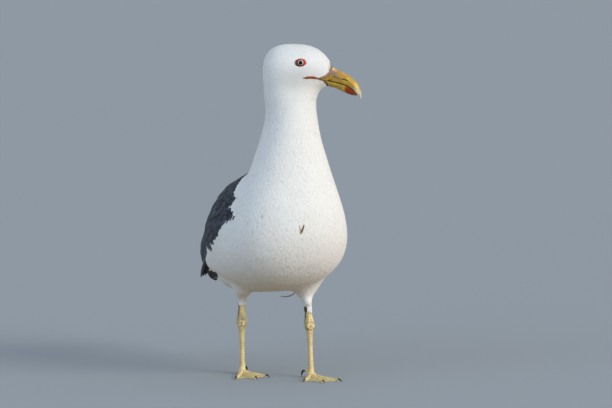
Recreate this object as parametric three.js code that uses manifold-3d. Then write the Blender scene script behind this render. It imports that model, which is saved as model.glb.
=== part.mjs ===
// A life-size standing kelp gull, head turned to its left, as a three.js scene graph.
// Millimetres, +Z up. The bird faces -Y with its left side towards +X, and stands on z = 0.
import * as THREE from "three";
import { mergeVertices } from "three/addons/utils/BufferGeometryUtils.js";
import Module from "manifold-3d";

const wasm = await Module();
wasm.setup();

// ---------------------------------------------------------------- driving dimensions
const GAP = 0.35; // clear space between neighbouring pieces
const FACET = 0.1; // detail smaller than this is merged into its neighbours
const NECK_AXIS_Y = -60; // the neck rises on this line, x = 0
const HEAD_YAW = 72; // degrees that the head is turned to the bird's left
const THROAT_PIVOT = { forward: 52, z: 338 }; // the head's section planes fan about this line
const EYE = { forward: 12.6, z: 387.3, lateral: 17.2, radius: 6.6 };
const FEET_CENTRE = [6, 22]; // the weight leans a little over the right leg
const LATERAL_STANCE = 35; // each foot's distance sideways from that centre
const STRIDE = 56; // how far the left foot is ahead of the right one
const ANKLE_HEIGHT = 64.5;
const SHANK_RISE = 21; // the bare skin ends this far above the ankle
const TIBIA_FORWARD = 4.5; // how far the tibia leans forward over that height
const FOOT_THICKNESS = 5.2;
const WEB_THICKNESS = 1.3;
const CLAW_LENGTH = 7.5;
const THIGH = { lateral: 33, behind: -8, strideShare: 0.7 }; // where it leaves the trunk
const BACK_ROUNDNESS = 0.99; // a section is an ellipse at 1, and squarer below it
const BELLY_ROUNDNESS = 0.92;
const BODY_SIDES = 30;

// Trunk and neck, from the vent to the top of the neck. Each station is a flat section
// through a point of the back and a point of the belly, both given as a distance forward
// of the neck axis and a height, with the half width between them. Yaw turns the section
// about the neck axis, and widest is where the section is widest, from belly 0 to back 1.
const TRUNK_STATIONS = [
  { name: "vent", yaw: 0, back: [-284, 148], belly: [-274, 125], half: 15, widest: 0.5 },
  { name: "rump", yaw: 0, back: [-262, 163], belly: [-248, 108], half: 30, widest: 0.47 },
  { name: "lower back", yaw: 0, back: [-228, 184], belly: [-207, 97.5], half: 44, widest: 0.43 },
  { name: "flank", yaw: 0, back: [-188, 206], belly: [-163, 93.5], half: 59, widest: 0.37 },
  { name: "saddle", yaw: 0, back: [-146, 225], belly: [-118, 97.5], half: 68.5, widest: 0.38 },
  { name: "belly", yaw: 0, back: [-108, 239], belly: [-74, 102.5], half: 75.5, widest: 0.4 },
  { name: "wing root", yaw: 0, back: [-78, 250], belly: [-30, 109.5], half: 78, widest: 0.4 },
  { name: "keel", yaw: 0, back: [-58, 256], belly: [8, 125], half: 75.5, widest: 0.4 },
  { name: "breast", yaw: 0, back: [-46, 263], belly: [34, 153], half: 68, widest: 0.42 },
  { name: "crop", yaw: 0, back: [-38, 273], belly: [45, 190], half: 57.5, widest: 0.45 },
  { name: "neck base", yaw: 0, back: [-33, 286], belly: [43, 227], half: 48.5, widest: 0.5 },
  { name: "low neck", yaw: 0, back: [-31, 300], belly: [38, 264], half: 40.5, widest: 0.5 },
  { name: "mid neck", yaw: 14, back: [-30, 315], belly: [34.5, 295], half: 34.5, widest: 0.5 },
  { name: "high neck", yaw: 42, back: [-31, 327], belly: [32.5, 319], half: 31.5, widest: 0.5 },
];

// The head, from the neck to the bill. Each section lies in a plane through the throat
// pivot, raised by lift degrees; throat and crown are distances from the pivot.
const HEAD_STATIONS = [
  { lift: 0, throat: 21.5, crown: 84, half: 29.5, widest: 0.5 },
  { lift: 12, throat: 21.2, crown: 86.5, half: 27.6, widest: 0.5 },
  { lift: 25, throat: 21.3, crown: 94.6, half: 26.2, widest: 0.49 },
  { lift: 36, throat: 21.6, crown: 100.6, half: 25.3, widest: 0.48 },
  { lift: 46, throat: 21.8, crown: 95.4, half: 24.1, widest: 0.48 },
  { lift: 56, throat: 21.4, crown: 84.3, half: 22.2, widest: 0.5 },
  { lift: 66, throat: 21.2, crown: 74.6, half: 19.2, widest: 0.48 },
  { lift: 76, throat: 20.4, crown: 63, half: 14.8, widest: 0.45 },
  { lift: 85, throat: 19.8, crown: 48.5, half: 10.4, widest: 0.44 },
  { lift: 93, throat: 19.6, crown: 41, half: 8.4, widest: 0.45 },
];

// The bill, from its base to its tip. Culmen, tomium and gonys are the ridge, the cutting
// edge and the keel, each as a distance forward of the neck axis and a height above the
// pivot's own level, which is two below the base of the head.
const BILL_BASE = { top: [50.2, 45.8], bottom: [42.6, 21.2] };
const UPPER_BILL = [
  { culmen: [46, 46.5], tomium: [41, 29.2], half: 7.4 },
  { culmen: [51.5, 44.7], tomium: [46, 28.4], half: 7.2 },
  { culmen: [58.5, 40.6], tomium: [53, 26.6], half: 6.7 },
  { culmen: [65.5, 37], tomium: [60, 24.1], half: 6.1 },
  { culmen: [72, 33.4], tomium: [66.7, 21], half: 5.5 },
  { culmen: [77.8, 28.4], tomium: [73, 17.4], half: 4.8 },
  { culmen: [82.3, 22], tomium: [78.2, 13.6], half: 3.8 },
  { culmen: [84.8, 15], tomium: [81.8, 10.6], half: 2.4 },
  { culmen: [85.3, 8.4], tomium: [84.3, 7.4], half: 0.8 },
];
const LOWER_BILL = [
  { tomium: [41, 28.6], gonys: [40, 21.6], half: 6.8 },
  { tomium: [46, 27.8], gonys: [44.6, 21.2], half: 6.6 },
  { tomium: [53, 26], gonys: [51, 19.8], half: 6 },
  { tomium: [60, 23.5], gonys: [57.6, 17.3], half: 5.3 },
  { tomium: [66.7, 20.4], gonys: [64.4, 13.9], half: 4.7 },
  { tomium: [73, 16.8], gonys: [70.8, 11.3], half: 4 },
  { tomium: [77.4, 13.2], gonys: [76.2, 10.2], half: 2.6 },
  { tomium: [79.6, 11.2], gonys: [79.2, 10.3], half: 0.9 },
];

// The folded wing's outer surface, from the tips of the tertials to the shoulder, in the
// trunk's terms. Each section keeps the arc between its lower and upper angle, where 0 is
// the side of the body and 90 the middle of the back.
const WING_STATIONS = [
  { back: [-292, 141], belly: [-282, 110], half: 27, from: 0, to: 70, inner: 0.86 },
  { back: [-276, 155], belly: [-262, 100], half: 36, from: -20, to: 80, inner: 0.85 },
  { back: [-256, 170], belly: [-240, 96], half: 43.5, from: -27, to: 84, inner: 0.83 },
  { back: [-226, 190], belly: [-205, 97], half: 50, from: -25, to: 84, inner: 0.81 },
  { back: [-187, 211], belly: [-162, 100], half: 59.5, from: -19, to: 81, inner: 0.79 },
  { back: [-146, 230.5], belly: [-118, 103], half: 69.5, from: -14, to: 76, inner: 0.78 },
  { back: [-108, 245], belly: [-74, 102], half: 77.5, from: -12, to: 71, inner: 0.78 },
  { back: [-78, 253.5], belly: [-30, 107], half: 79.5, from: -4, to: 65, inner: 0.8 },
  { back: [-58, 258.5], belly: [8, 124], half: 76.5, from: 7, to: 59, inner: 0.85 },
  { back: [-51, 263], belly: [24, 139], half: 70.5, from: 24, to: 52, inner: 0.94 },
];

// The primaries beyond the tertials, as a blade: centre, chord, thickness and roll.
const PRIMARY_STATIONS = [
  { at: [-38, 150, 151], chord: 26, thick: 3.2, roll: 42 },
  { at: [-29, 188, 140], chord: 27, thick: 3, roll: 36 },
  { at: [-16, 226, 124.5], chord: 28, thick: 2.6, roll: 26 },
  { at: [-5, 260, 107.5], chord: 24, thick: 2.2, roll: 14 },
  { at: [3, 284, 93.5], chord: 16, thick: 1.6, roll: 8 },
  { at: [8, 298, 85.5], chord: 5, thick: 0.9, roll: 4 },
];
const WING_WIDEST = 0.46;
const MANTLE_CLEAR = 0.7; // degrees between the mantle and each wing
const UPPER_WING_RISE = 9; // the left primaries cross above the right ones
const TAIL = {
  root: [0, 196, 141],
  tip: [0, 256, 99.5],
  rootWidth: 34,
  tipWidth: 37,
  thick: 3.6,
  droop: 0.006, // how fast the outer feathers drop, in 1/mm
};
const TAIL_END = { from: 0.82, length: 0.2 }; // where its end is rounded, as shares of its length

const MATERIALS = {
  white_plumage: { color: 0xf1f0ee, roughness: 0.85 },
  slate_plumage: { color: 0x2b2e34, roughness: 0.75 },
  black_plumage: { color: 0x131313, roughness: 0.7 },
  bill_horn: { color: 0xd9a81c, roughness: 0.45 },
  leg_skin: { color: 0xb7a54a, roughness: 0.6 },
  claw_horn: { color: 0x17130f, roughness: 0.4 },
  eye_ball: { color: 0xd9d2bd, roughness: 0.1 },
};

// ---------------------------------------------------------------- curves and sections
const radians = THREE.MathUtils.degToRad;

// Catmull-Rom through a list of number rows, at a place from 0 to the last index.
function through(rows, place) {
  const last = rows.length - 1;
  const i = Math.min(Math.floor(place), last - 1);
  const t = place - i;
  const row = (k) => rows[THREE.MathUtils.clamp(k, 0, last)];
  return row(i).map((b, n) => {
    const c = row(i + 1)[n];
    const a = i > 0 ? row(i - 1)[n] : 2 * b - c;
    const d = i + 2 <= last ? row(i + 2)[n] : 2 * c - b;
    return b + 0.5 * t * (c - a + t * (2 * a - 5 * b + 4 * c - d + t * (3 * (b - c) + d - a)));
  });
}

// A point given as a distance forward of the neck axis, a height and a sideways distance,
// in the upright plane that is turned by yaw degrees to the bird's left.
function inPlane(yaw, forward, z, sideways = 0) {
  const s = Math.sin(radians(yaw));
  const c = Math.cos(radians(yaw));
  return new THREE.Vector3(
    forward * s + sideways * c,
    NECK_AXIS_Y - forward * c + sideways * s,
    z
  );
}

function signedPower(value, power) {
  return Math.sign(value) * Math.abs(value) ** power;
}

// The rows that describe trunk, neck and head as one run of sections.
const BODY_ROWS = [
  ...TRUNK_STATIONS.map((s) => [s.yaw, ...s.back, ...s.belly, s.half, s.widest]),
  ...HEAD_STATIONS.map((s) => {
    const along = -Math.cos(radians(s.lift));
    const rise = Math.sin(radians(s.lift));
    const at = (r) => [THROAT_PIVOT.forward + r * along, THROAT_PIVOT.z + r * rise];
    return [HEAD_YAW, ...at(s.crown), ...at(s.throat), s.half, s.widest];
  }),
];
const NECK_START = 10; // the neck base station
const HEAD_START = TRUNK_STATIONS.length + 0.4; // just above the throat
const BODY_END = BODY_ROWS.length - 1;

// One closed section, its surface moved out by grow, with the angle running from the
// bird's left side over the back.
function section([yaw, backF, backZ, bellyF, bellyZ, half, widest], angles, grow = 0) {
  const length = Math.hypot(backF - bellyF, backZ - bellyZ);
  const up = [(backF - bellyF) / length, (backZ - bellyZ) / length];
  const centre = [bellyF + widest * (backF - bellyF), bellyZ + widest * (backZ - bellyZ)];
  return angles.map((angle) => {
    const above = Math.sin(angle) > 0;
    const power = above ? BACK_ROUNDNESS : BELLY_ROUNDNESS;
    const sideways = (half + grow) * signedPower(Math.cos(angle), power);
    const share = above ? 1 - widest : widest;
    const rise = (length * share + grow) * signedPower(Math.sin(angle), power);
    return inPlane(yaw, centre[0] + rise * up[0], centre[1] + rise * up[1], sideways);
  });
}

function fullTurn(sides) {
  return Array.from({ length: sides }, (_, i) => (i / sides) * 2 * Math.PI);
}

// ---------------------------------------------------------------- meshes and solids
// A closed mesh through rings of equal length, with a fan over each end.
function loft(rings) {
  const sides = rings[0].length;
  const points = rings.flat();
  const middle = (ring) =>
    ring.reduce((sum, p) => sum.add(p), new THREE.Vector3()).divideScalar(ring.length);
  const index = [];
  for (let r = 0; r + 1 < rings.length; r++) {
    for (let i = 0; i < sides; i++) {
      const j = (i + 1) % sides;
      const [a, b] = [r * sides + i, r * sides + j];
      const [c, d] = [a + sides, b + sides];
      index.push(a, b, d, a, d, c);
    }
  }
  const first = points.length;
  points.push(middle(rings[0]), middle(rings.at(-1)));
  const lastRing = (rings.length - 1) * sides;
  for (let i = 0; i < sides; i++) {
    const j = (i + 1) % sides;
    index.push(first, j, i, first + 1, lastRing + i, lastRing + j);
  }
  const geometry = new THREE.BufferGeometry().setFromPoints(points);
  geometry.setIndex(index);
  return geometry;
}

function solidOf(source) {
  const geometry = source.clone();
  geometry.deleteAttribute("normal");
  geometry.deleteAttribute("uv");
  const merged = mergeVertices(geometry, 1e-4);
  const solid = new wasm.Manifold(
    new wasm.Mesh({
      numProp: 3,
      vertProperties: new Float32Array(merged.attributes.position.array),
      triVerts: new Uint32Array(merged.index.array),
    })
  );
  if (solid.volume() > 0) return solid;
  const faces = merged.index.array;
  for (let i = 0; i < faces.length; i += 3) [faces[i], faces[i + 1]] = [faces[i + 1], faces[i]];
  return solidOf(merged);
}

function geometryOf(solid) {
  const { numProp, numVert, vertProperties, triVerts } = solid.getMesh();
  const position = new Float32Array(numVert * 3);
  for (let i = 0; i < numVert; i++) {
    position.set(vertProperties.subarray(i * numProp, i * numProp + 3), i * 3);
  }
  const geometry = new THREE.BufferGeometry();
  geometry.setAttribute("position", new THREE.BufferAttribute(position, 3));
  geometry.setIndex(new THREE.BufferAttribute(new Uint32Array(triVerts), 1));
  return geometry;
}

// The largest of a solid's separate pieces, without the slivers that a cut can leave.
function largest(solid) {
  return solid.decompose().reduce((best, piece) => (piece.volume() > best.volume() ? piece : best));
}

function mirrored(solid) {
  return solid.mirror([1, 0, 0]);
}

const group = new THREE.Group();

function add(name, material, solid) {
  const look = new THREE.MeshStandardMaterial({ ...MATERIALS[material], metalness: 0 });
  const mesh = new THREE.Mesh(geometryOf(solid.simplify(FACET)), look);
  mesh.name = name;
  group.add(mesh);
}

// ---------------------------------------------------------------- trunk, neck and head
function bodyLength(from, to, steps, grow = 0) {
  const angles = fullTurn(BODY_SIDES);
  const rings = [];
  for (let i = 0; i <= steps; i++) {
    rings.push(section(through(BODY_ROWS, from + ((to - from) * i) / steps), angles, grow));
  }
  return solidOf(loft(rings));
}

const CUT = 0.012; // half a gap, as a share of the distance between two stations

function makeTrunk(grow = 0) {
  return bodyLength(0, NECK_START - CUT, 18, grow);
}

function makeNeck() {
  return bodyLength(NECK_START + CUT, HEAD_START - CUT, 7);
}

// ---------------------------------------------------------------- bill
const headZ = (height) => THROAT_PIVOT.z - 2 + height;

// A mandible's section: a flat cutting edge and an arch up to the ridge or down to the keel.
function mandibleRing(edge, ridge, half, grow) {
  const arch = 8;
  const across = [edge[0] - ridge[0], edge[1] - ridge[1]];
  const ring = [];
  for (let i = 0; i <= arch; i++) {
    const angle = (i / arch) * Math.PI;
    const rise = 1 - Math.sin(angle) ** 0.85;
    const forward = ridge[0] + across[0] * rise;
    const height = ridge[1] + across[1] * rise;
    const sideways = (half + grow) * signedPower(Math.cos(angle), 0.8);
    ring.push(inPlane(HEAD_YAW, forward, headZ(height), sideways));
  }
  return ring;
}

function makeMandible(rows, ridge, steps = 14, grow = 0) {
  const flat = rows.map((r) => [...r.tomium, ...r[ridge], r.half]);
  const rings = [];
  for (let i = 0; i <= steps; i++) {
    const [ef, eh, rf, rh, half] = through(flat, ((rows.length - 1) * i) / steps);
    rings.push(mandibleRing([ef, eh], [rf, rh], half, grow));
  }
  return solidOf(loft(rings));
}

// A big block whose back face is the plane of the bill's base, moved forward by clear.
function aheadOfBillBase(clear) {
  const reach = 120;
  const { top, bottom } = BILL_BASE;
  const length = Math.hypot(top[0] - bottom[0], top[1] - bottom[1]);
  const up = [(top[0] - bottom[0]) / length, (top[1] - bottom[1]) / length];
  const ahead = [up[1], -up[0]];
  const corner = (a, u) => [
    bottom[0] + ahead[0] * a + up[0] * u,
    headZ(bottom[1] + ahead[1] * a + up[1] * u),
  ];
  const corners = [
    corner(clear, -reach),
    corner(clear + reach, -reach),
    corner(clear + reach, reach),
    corner(clear, reach),
  ];
  const side = (sideways) => corners.map(([f, z]) => inPlane(HEAD_YAW, f, z, sideways));
  return solidOf(loft([side(-reach), side(reach)]));
}

function eyeBall(side, grow = 0) {
  const ball = new THREE.SphereGeometry(EYE.radius + grow, 12, 9);
  const at = inPlane(HEAD_YAW, EYE.forward, EYE.z, side * EYE.lateral);
  ball.translate(at.x, at.y, at.z);
  return solidOf(ball);
}

function makeHead() {
  let head = bodyLength(HEAD_START + CUT, BODY_END, 15);
  head = head.subtract(aheadOfBillBase(0));
  for (const side of [-1, 1]) head = head.subtract(eyeBall(side, GAP));
  return largest(head);
}

// ---------------------------------------------------------------- wings and tail
// A closed shell over the trunk, between two angles at each of the wing's stations.
function shellOver(trunk, steps, arcSteps, edges) {
  const rows = WING_STATIONS.map((s) => [...s.back, ...s.belly, s.half, s.from, s.to, s.inner]);
  const rings = [];
  for (let i = 0; i <= steps; i++) {
    const row = through(rows, ((rows.length - 1) * i) / steps);
    const [start, end] = edges(...row.slice(5, 7));
    const inner = row[7];
    const angles = Array.from({ length: arcSteps + 1 }, (_, k) =>
      radians(180 - start - ((end - start) * k) / arcSteps)
    );
    const profile = [0, ...row.slice(0, 5), WING_WIDEST];
    const outer = section(profile, angles);
    const middle = section(profile, fullTurn(4))
      .reduce((sum, p) => sum.add(p), new THREE.Vector3())
      .divideScalar(4);
    const inside = outer.map((p) => middle.clone().lerp(p, inner)).reverse();
    rings.push([...outer, ...inside]);
  }
  return largest(solidOf(loft(rings)).subtract(trunk));
}

function makeWing(trunk) {
  return shellOver(trunk, 15, 8, (from, to) => [from, to]);
}

// The mantle fills the middle of the back, between the two wings.
function makeMantle(trunk) {
  return shellOver(trunk, 12, 4, (from, to) => [to + MANTLE_CLEAR, 180 - to - MANTLE_CLEAR]);
}

// A blade of lens-shaped sections. Roll tips its outer edge down.
function blade(stations, steps, rise, grow = 0) {
  const rows = stations.map((s) => [...s.at, s.chord, s.thick, s.roll]);
  const sides = 10;
  const rings = [];
  for (let i = 0; i <= steps; i++) {
    const share = i / steps;
    const [x, y, z, chord, thick, roll] = through(rows, (rows.length - 1) * share);
    const across = new THREE.Vector3(Math.cos(radians(roll)), 0, Math.sin(radians(roll)));
    const out = new THREE.Vector3(-Math.sin(radians(roll)), 0, Math.cos(radians(roll)));
    const lift = rise * THREE.MathUtils.smoothstep(share, 0.25, 0.75);
    rings.push(
      fullTurn(sides).map((angle) =>
        new THREE.Vector3(x, y, z + lift)
          .addScaledVector(across, (chord / 2 + grow) * Math.cos(angle))
          .addScaledVector(out, (thick / 2 + grow) * signedPower(Math.sin(angle), 0.8))
      )
    );
  }
  return solidOf(loft(rings));
}

function makeTail() {
  const steps = 8;
  const sides = 16;
  const rings = [];
  for (let i = 0; i <= steps; i++) {
    const share = i / steps;
    const y = THREE.MathUtils.lerp(TAIL.root[1], TAIL.tip[1], share);
    const z = THREE.MathUtils.lerp(TAIL.root[2], TAIL.tip[2], share);
    const width = THREE.MathUtils.lerp(TAIL.rootWidth, TAIL.tipWidth, share);
    const intoEnd = Math.max(0, (share - TAIL_END.from) / TAIL_END.length);
    const rounding = Math.sqrt(Math.max(0, 1 - intoEnd ** 3));
    rings.push(
      fullTurn(sides).map((angle) => {
        const across = (width / 2) * rounding * signedPower(Math.cos(angle), 0.6);
        const droop = TAIL.droop * across * across;
        const rise = (TAIL.thick / 2) * signedPower(Math.sin(angle), 0.7) * (1 - 0.4 * share);
        return new THREE.Vector3(across, y, z + rise - droop);
      })
    );
  }
  return solidOf(loft(rings));
}

// ---------------------------------------------------------------- legs and feet
const LIMB_SIDES = 12;
const INSTEP_TOP = FOOT_THICKNESS + 1.5;
const TARSUS_TOP = ANKLE_HEIGHT - 8;
const SHANK_TOP = ANKLE_HEIGHT + SHANK_RISE;

// Sections up the leg: a height above the floor, and half the width and half the depth.
const INSTEP = [
  { height: -2, half: [5.4, 5.6] },
  { height: 3, half: [5.2, 5.4] },
  { height: INSTEP_TOP, half: [3.9, 4.2] },
];
const TARSUS = [
  { height: INSTEP_TOP + GAP, half: [3.8, 4.1] },
  { height: 14, half: [3.15, 3.7] },
  { height: 30, half: [2.9, 3.6] },
  { height: 46, half: [3.1, 4.1] },
  { height: TARSUS_TOP, half: [4.2, 5.2] },
];
const SHANK = [
  { height: TARSUS_TOP + GAP, half: [4.3, 5.3] },
  { height: ANKLE_HEIGHT - 4, half: [5.9, 6.6] },
  { height: ANKLE_HEIGHT + 1, half: [6.4, 6.9] },
  { height: ANKLE_HEIGHT + 7, half: [5.2, 5.6] },
  { height: ANKLE_HEIGHT + 14, half: [4.3, 4.5] },
  { height: SHANK_TOP, half: [4.3, 4.4] },
];
const LOWER_THIGH = [
  { height: SHANK_TOP + GAP, half: [4.5, 4.7] },
  { height: SHANK_TOP + 7, half: [5.9, 6.8] },
];
const UPPER_THIGH = [
  { height: 101, half: [11, 14] },
  { height: 112, half: [19.5, 24] },
  { height: 124, half: [25, 30] },
];

// The three front toes and the hind one, with their angle from straight ahead (positive is
// outward on the left foot), their length, and half their width at the joint and at the tip.
const FRONT_TOES = [
  { name: "outer", angle: 27, length: 50, half: [2.9, 1.75] },
  { name: "middle", angle: 2, length: 54, half: [2.9, 1.75] },
  { name: "inner", angle: -24, length: 41, half: [2.9, 1.75] },
];
const HIND_TOE = { angle: -140, length: 9, half: [2.1, 1.5] };
const TOE_IN = 3; // degrees that each foot points inwards
const TOE_HEIGHT = [4.2, 1.5]; // the middle of a front toe, at the joint and beyond it
const HIND_TOE_HEIGHT = [9, 7.5];
const JOINTS_IN_TOE = 3;
const KNUCKLE_SWELL = 0.12;
const WEB_SCALLOPS = [
  { angle: 15, length: 39 },
  { angle: -11, length: 36 },
];
const CLAW_HALF = 1.5;

// The leg's middle line at a height: up from the foot's joint to the ankle, then up the tibia.
function legLine(joint, ankle, tibiaLean) {
  return (height) => {
    if (height > ANKLE_HEIGHT) {
      const share = (height - ANKLE_HEIGHT) / SHANK_RISE;
      return [ankle[0] + tibiaLean * share, ankle[1] - TIBIA_FORWARD * share, height];
    }
    const share = (height - FOOT_THICKNESS) / (ANKLE_HEIGHT - FOOT_THICKNESS);
    const { lerp } = THREE.MathUtils;
    return [lerp(joint[0], ankle[0], share), lerp(joint[1], ankle[1], share), height];
  };
}

// A round limb through sections, with their middles placed by a function of the height.
function limb(sections, middleAt, steps, { sides = LIMB_SIDES, grow = 0 } = {}) {
  const rows = sections.map(({ height, half }) => [...middleAt(height), ...half]);
  const rings = [];
  for (let i = 0; i <= steps; i++) {
    const [x, y, z, wide, deep] = through(rows, ((rows.length - 1) * i) / steps);
    rings.push(
      fullTurn(sides).map(
        (angle) =>
          new THREE.Vector3(x + (wide + grow) * Math.cos(angle), y + (deep + grow) * Math.sin(angle), z)
      )
    );
  }
  return solidOf(loft(rings));
}

// The directions along and across a toe.
function toeFrame(angle) {
  const s = Math.sin(radians(angle));
  const c = Math.cos(radians(angle));
  return { ahead: new THREE.Vector3(s, -c, 0), across: new THREE.Vector3(c, s, 0) };
}

// A tapering toe with its knuckles, from the foot's joint out at an angle.
function digit(joint, { angle, length, half }, [startZ, endZ]) {
  const steps = 5;
  const sides = 7;
  const { ahead, across } = toeFrame(angle);
  const rings = [];
  for (let i = 0; i <= steps; i++) {
    const share = i / steps;
    const knuckle = 1 + KNUCKLE_SWELL * Math.cos(share * JOINTS_IN_TOE * 2 * Math.PI);
    const round = THREE.MathUtils.lerp(...half, share) * knuckle;
    const z = THREE.MathUtils.lerp(startZ, endZ, Math.min(1, share * 2.5));
    rings.push(
      fullTurn(sides).map((turn) =>
        new THREE.Vector3(...joint, 0)
          .addScaledVector(ahead, length * share)
          .addScaledVector(across, round * Math.cos(turn))
          .setZ(z + round * Math.sin(turn))
      )
    );
  }
  return solidOf(loft(rings));
}

// A claw that leaves the toe's tip and curves down to just above the floor.
function claw(joint, toe) {
  const steps = 3;
  const sides = 6;
  const bend = 1.2;
  const { ahead, across } = toeFrame(toe.angle - TOE_IN);
  const rings = [];
  for (let i = 0; i <= steps; i++) {
    const share = i / steps;
    const round = CLAW_HALF * (1 - 0.8 * share);
    const reach = toe.length + GAP + CLAW_LENGTH * Math.sin(share * bend);
    rings.push(
      fullTurn(sides).map((turn) =>
        new THREE.Vector3(...joint, 0)
          .addScaledVector(ahead, reach)
          .addScaledVector(across, round * Math.cos(turn))
          .setZ(round + 0.1 + 1.4 * (1 - share * share) + round * Math.sin(turn))
      )
    );
  }
  return solidOf(loft(rings));
}

// A thin slab over the webs' outline, with a scalloped front edge.
function web(joint) {
  const point = ({ angle, length }, share = 1) => {
    const { ahead } = toeFrame(angle - TOE_IN);
    return [joint[0] + ahead.x * length * share, joint[1] + ahead.y * length * share];
  };
  const [outer, middle, inner] = FRONT_TOES;
  const shape = new THREE.Shape();
  shape.moveTo(joint[0], joint[1] + 3);
  shape.lineTo(...point(outer, 0.99));
  shape.quadraticCurveTo(...point(WEB_SCALLOPS[0]), ...point(middle, 0.96));
  shape.quadraticCurveTo(...point(WEB_SCALLOPS[1]), ...point(inner, 0.99));
  shape.closePath();
  const options = { depth: WEB_THICKNESS, bevelEnabled: false, curveSegments: 5 };
  return solidOf(new THREE.ExtrudeGeometry(shape, options));
}

function makeFoot(joint, middleAt) {
  let foot = web(joint);
  for (const toe of FRONT_TOES) {
    foot = foot.add(digit(joint, { ...toe, angle: toe.angle - TOE_IN }, TOE_HEIGHT));
  }
  foot = foot.add(limb(INSTEP, middleAt, 3, { sides: 10 }));
  const slab = new THREE.BoxGeometry(400, 800, INSTEP_TOP).translate(0, 0, INSTEP_TOP / 2);
  return largest(foot.intersect(solidOf(slab)));
}

// Everything below the trunk for one leg, modelled as the left one at its own place.
function makeLeg({ joint, ankle, tibiaLean, thighTop }, trunk) {
  const middleAt = legLine(joint, ankle, tibiaLean);
  const thighAt = (height) => (height < UPPER_THIGH[0].height ? middleAt(height) : [...thighTop, height]);
  const foot = makeFoot(joint, middleAt);
  const tarsus = limb(TARSUS, middleAt, 7);
  const thigh = limb([...LOWER_THIGH, ...UPPER_THIGH], thighAt, 8, { sides: 16 });
  const hallux = digit([joint[0], joint[1] + 3.5], HIND_TOE, HIND_TOE_HEIGHT);
  const tarsusClear = limb(TARSUS, middleAt, 7, { grow: GAP });
  return {
    foot,
    tarsus,
    shank: limb(SHANK, middleAt, 10),
    thigh: largest(thigh.subtract(trunk)),
    hallux: largest(hallux.subtract(tarsusClear).subtract(foot)),
  };
}

// ---------------------------------------------------------------- the bird
const trunkClear = makeTrunk(GAP);
add("trunk", "white_plumage", makeTrunk());
add("neck", "white_plumage", makeNeck());
add("head", "white_plumage", makeHead());

const billRoom = aheadOfBillBase(GAP);
add("bill_upper", "bill_horn", largest(makeMandible(UPPER_BILL, "culmen").intersect(billRoom)));
add("bill_lower", "bill_horn", largest(makeMandible(LOWER_BILL, "gonys").intersect(billRoom)));
add("eye_right", "eye_ball", eyeBall(-1));
add("eye_left", "eye_ball", eyeBall(1));

const rightBlade = blade(PRIMARY_STATIONS, 13, 0);
const leftBlade = mirrored(blade(PRIMARY_STATIONS, 13, UPPER_WING_RISE));
const rightClear = blade(PRIMARY_STATIONS, 13, 0, GAP);
const leftClear = mirrored(blade(PRIMARY_STATIONS, 13, UPPER_WING_RISE, GAP));
const rightWing = makeWing(trunkClear);
add("wing_right", "slate_plumage", largest(rightWing.subtract(rightClear).subtract(leftClear)));
add("wing_left", "slate_plumage", largest(mirrored(rightWing).subtract(leftClear).subtract(rightClear)));
const mantle = makeMantle(trunkClear).subtract(rightClear).subtract(leftClear);
add("mantle", "slate_plumage", largest(mantle));
add("primaries_right", "black_plumage", largest(rightBlade.subtract(trunkClear)));
add("primaries_left", "black_plumage", largest(leftBlade.subtract(trunkClear).subtract(rightClear)));
add("tail", "white_plumage", largest(makeTail().subtract(trunkClear).subtract(rightClear)));

// Each leg is modelled as a left one, so the right one's place is mirrored first.
const legs = {
  left: { side: 1, stride: -STRIDE / 2, ankleShift: [-3, -2], tibiaLean: -3.2 },
  right: { side: -1, stride: STRIDE / 2, ankleShift: [1, 0], tibiaLean: 1 },
};
for (const [name, { side, stride, ankleShift, tibiaLean }] of Object.entries(legs)) {
  const place = (solid) => (side < 0 ? mirrored(solid) : solid);
  const joint = [LATERAL_STANCE + side * FEET_CENTRE[0], FEET_CENTRE[1] + stride];
  const ankle = [joint[0] + ankleShift[0], joint[1] + ankleShift[1]];
  const thighTop = [THIGH.lateral, FEET_CENTRE[1] + THIGH.behind + stride * THIGH.strideShare];
  const leg = makeLeg({ joint, ankle, tibiaLean, thighTop }, place(trunkClear));
  add(`thigh_${name}`, "white_plumage", place(leg.thigh));
  add(`shank_${name}`, "leg_skin", place(leg.shank));
  add(`tarsus_${name}`, "leg_skin", place(leg.tarsus));
  add(`foot_${name}`, "leg_skin", place(leg.foot));
  add(`hallux_${name}`, "leg_skin", place(leg.hallux));
  for (const toe of FRONT_TOES) {
    add(`claw_${toe.name}_${name}`, "claw_horn", place(claw(joint, toe)));
  }
}

// The origin is on the floor below the middle of the bird's box.
group.updateMatrixWorld(true);
const box = new THREE.Box3().setFromObject(group);
const middle = box.getCenter(new THREE.Vector3());
group.position.set(-middle.x, -middle.y, -box.min.z);

export default group;
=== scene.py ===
"""A standing kelp gull, life size: skin, coat, folded wings, tail, head, bill, eyes and legs.

Lengths are written in millimetres and turned to metres when a mesh is made. The row frame is the
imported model's own: X to the bird's left, Y to its tail, Z up, and the bird faces -Y.
"""
import logging
import math
from dataclasses import dataclass
from enum import Enum
from typing import Callable, Sequence

import bmesh
import bpy
import numpy as np
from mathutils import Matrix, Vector
from mathutils.bvhtree import BVHTree


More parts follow.
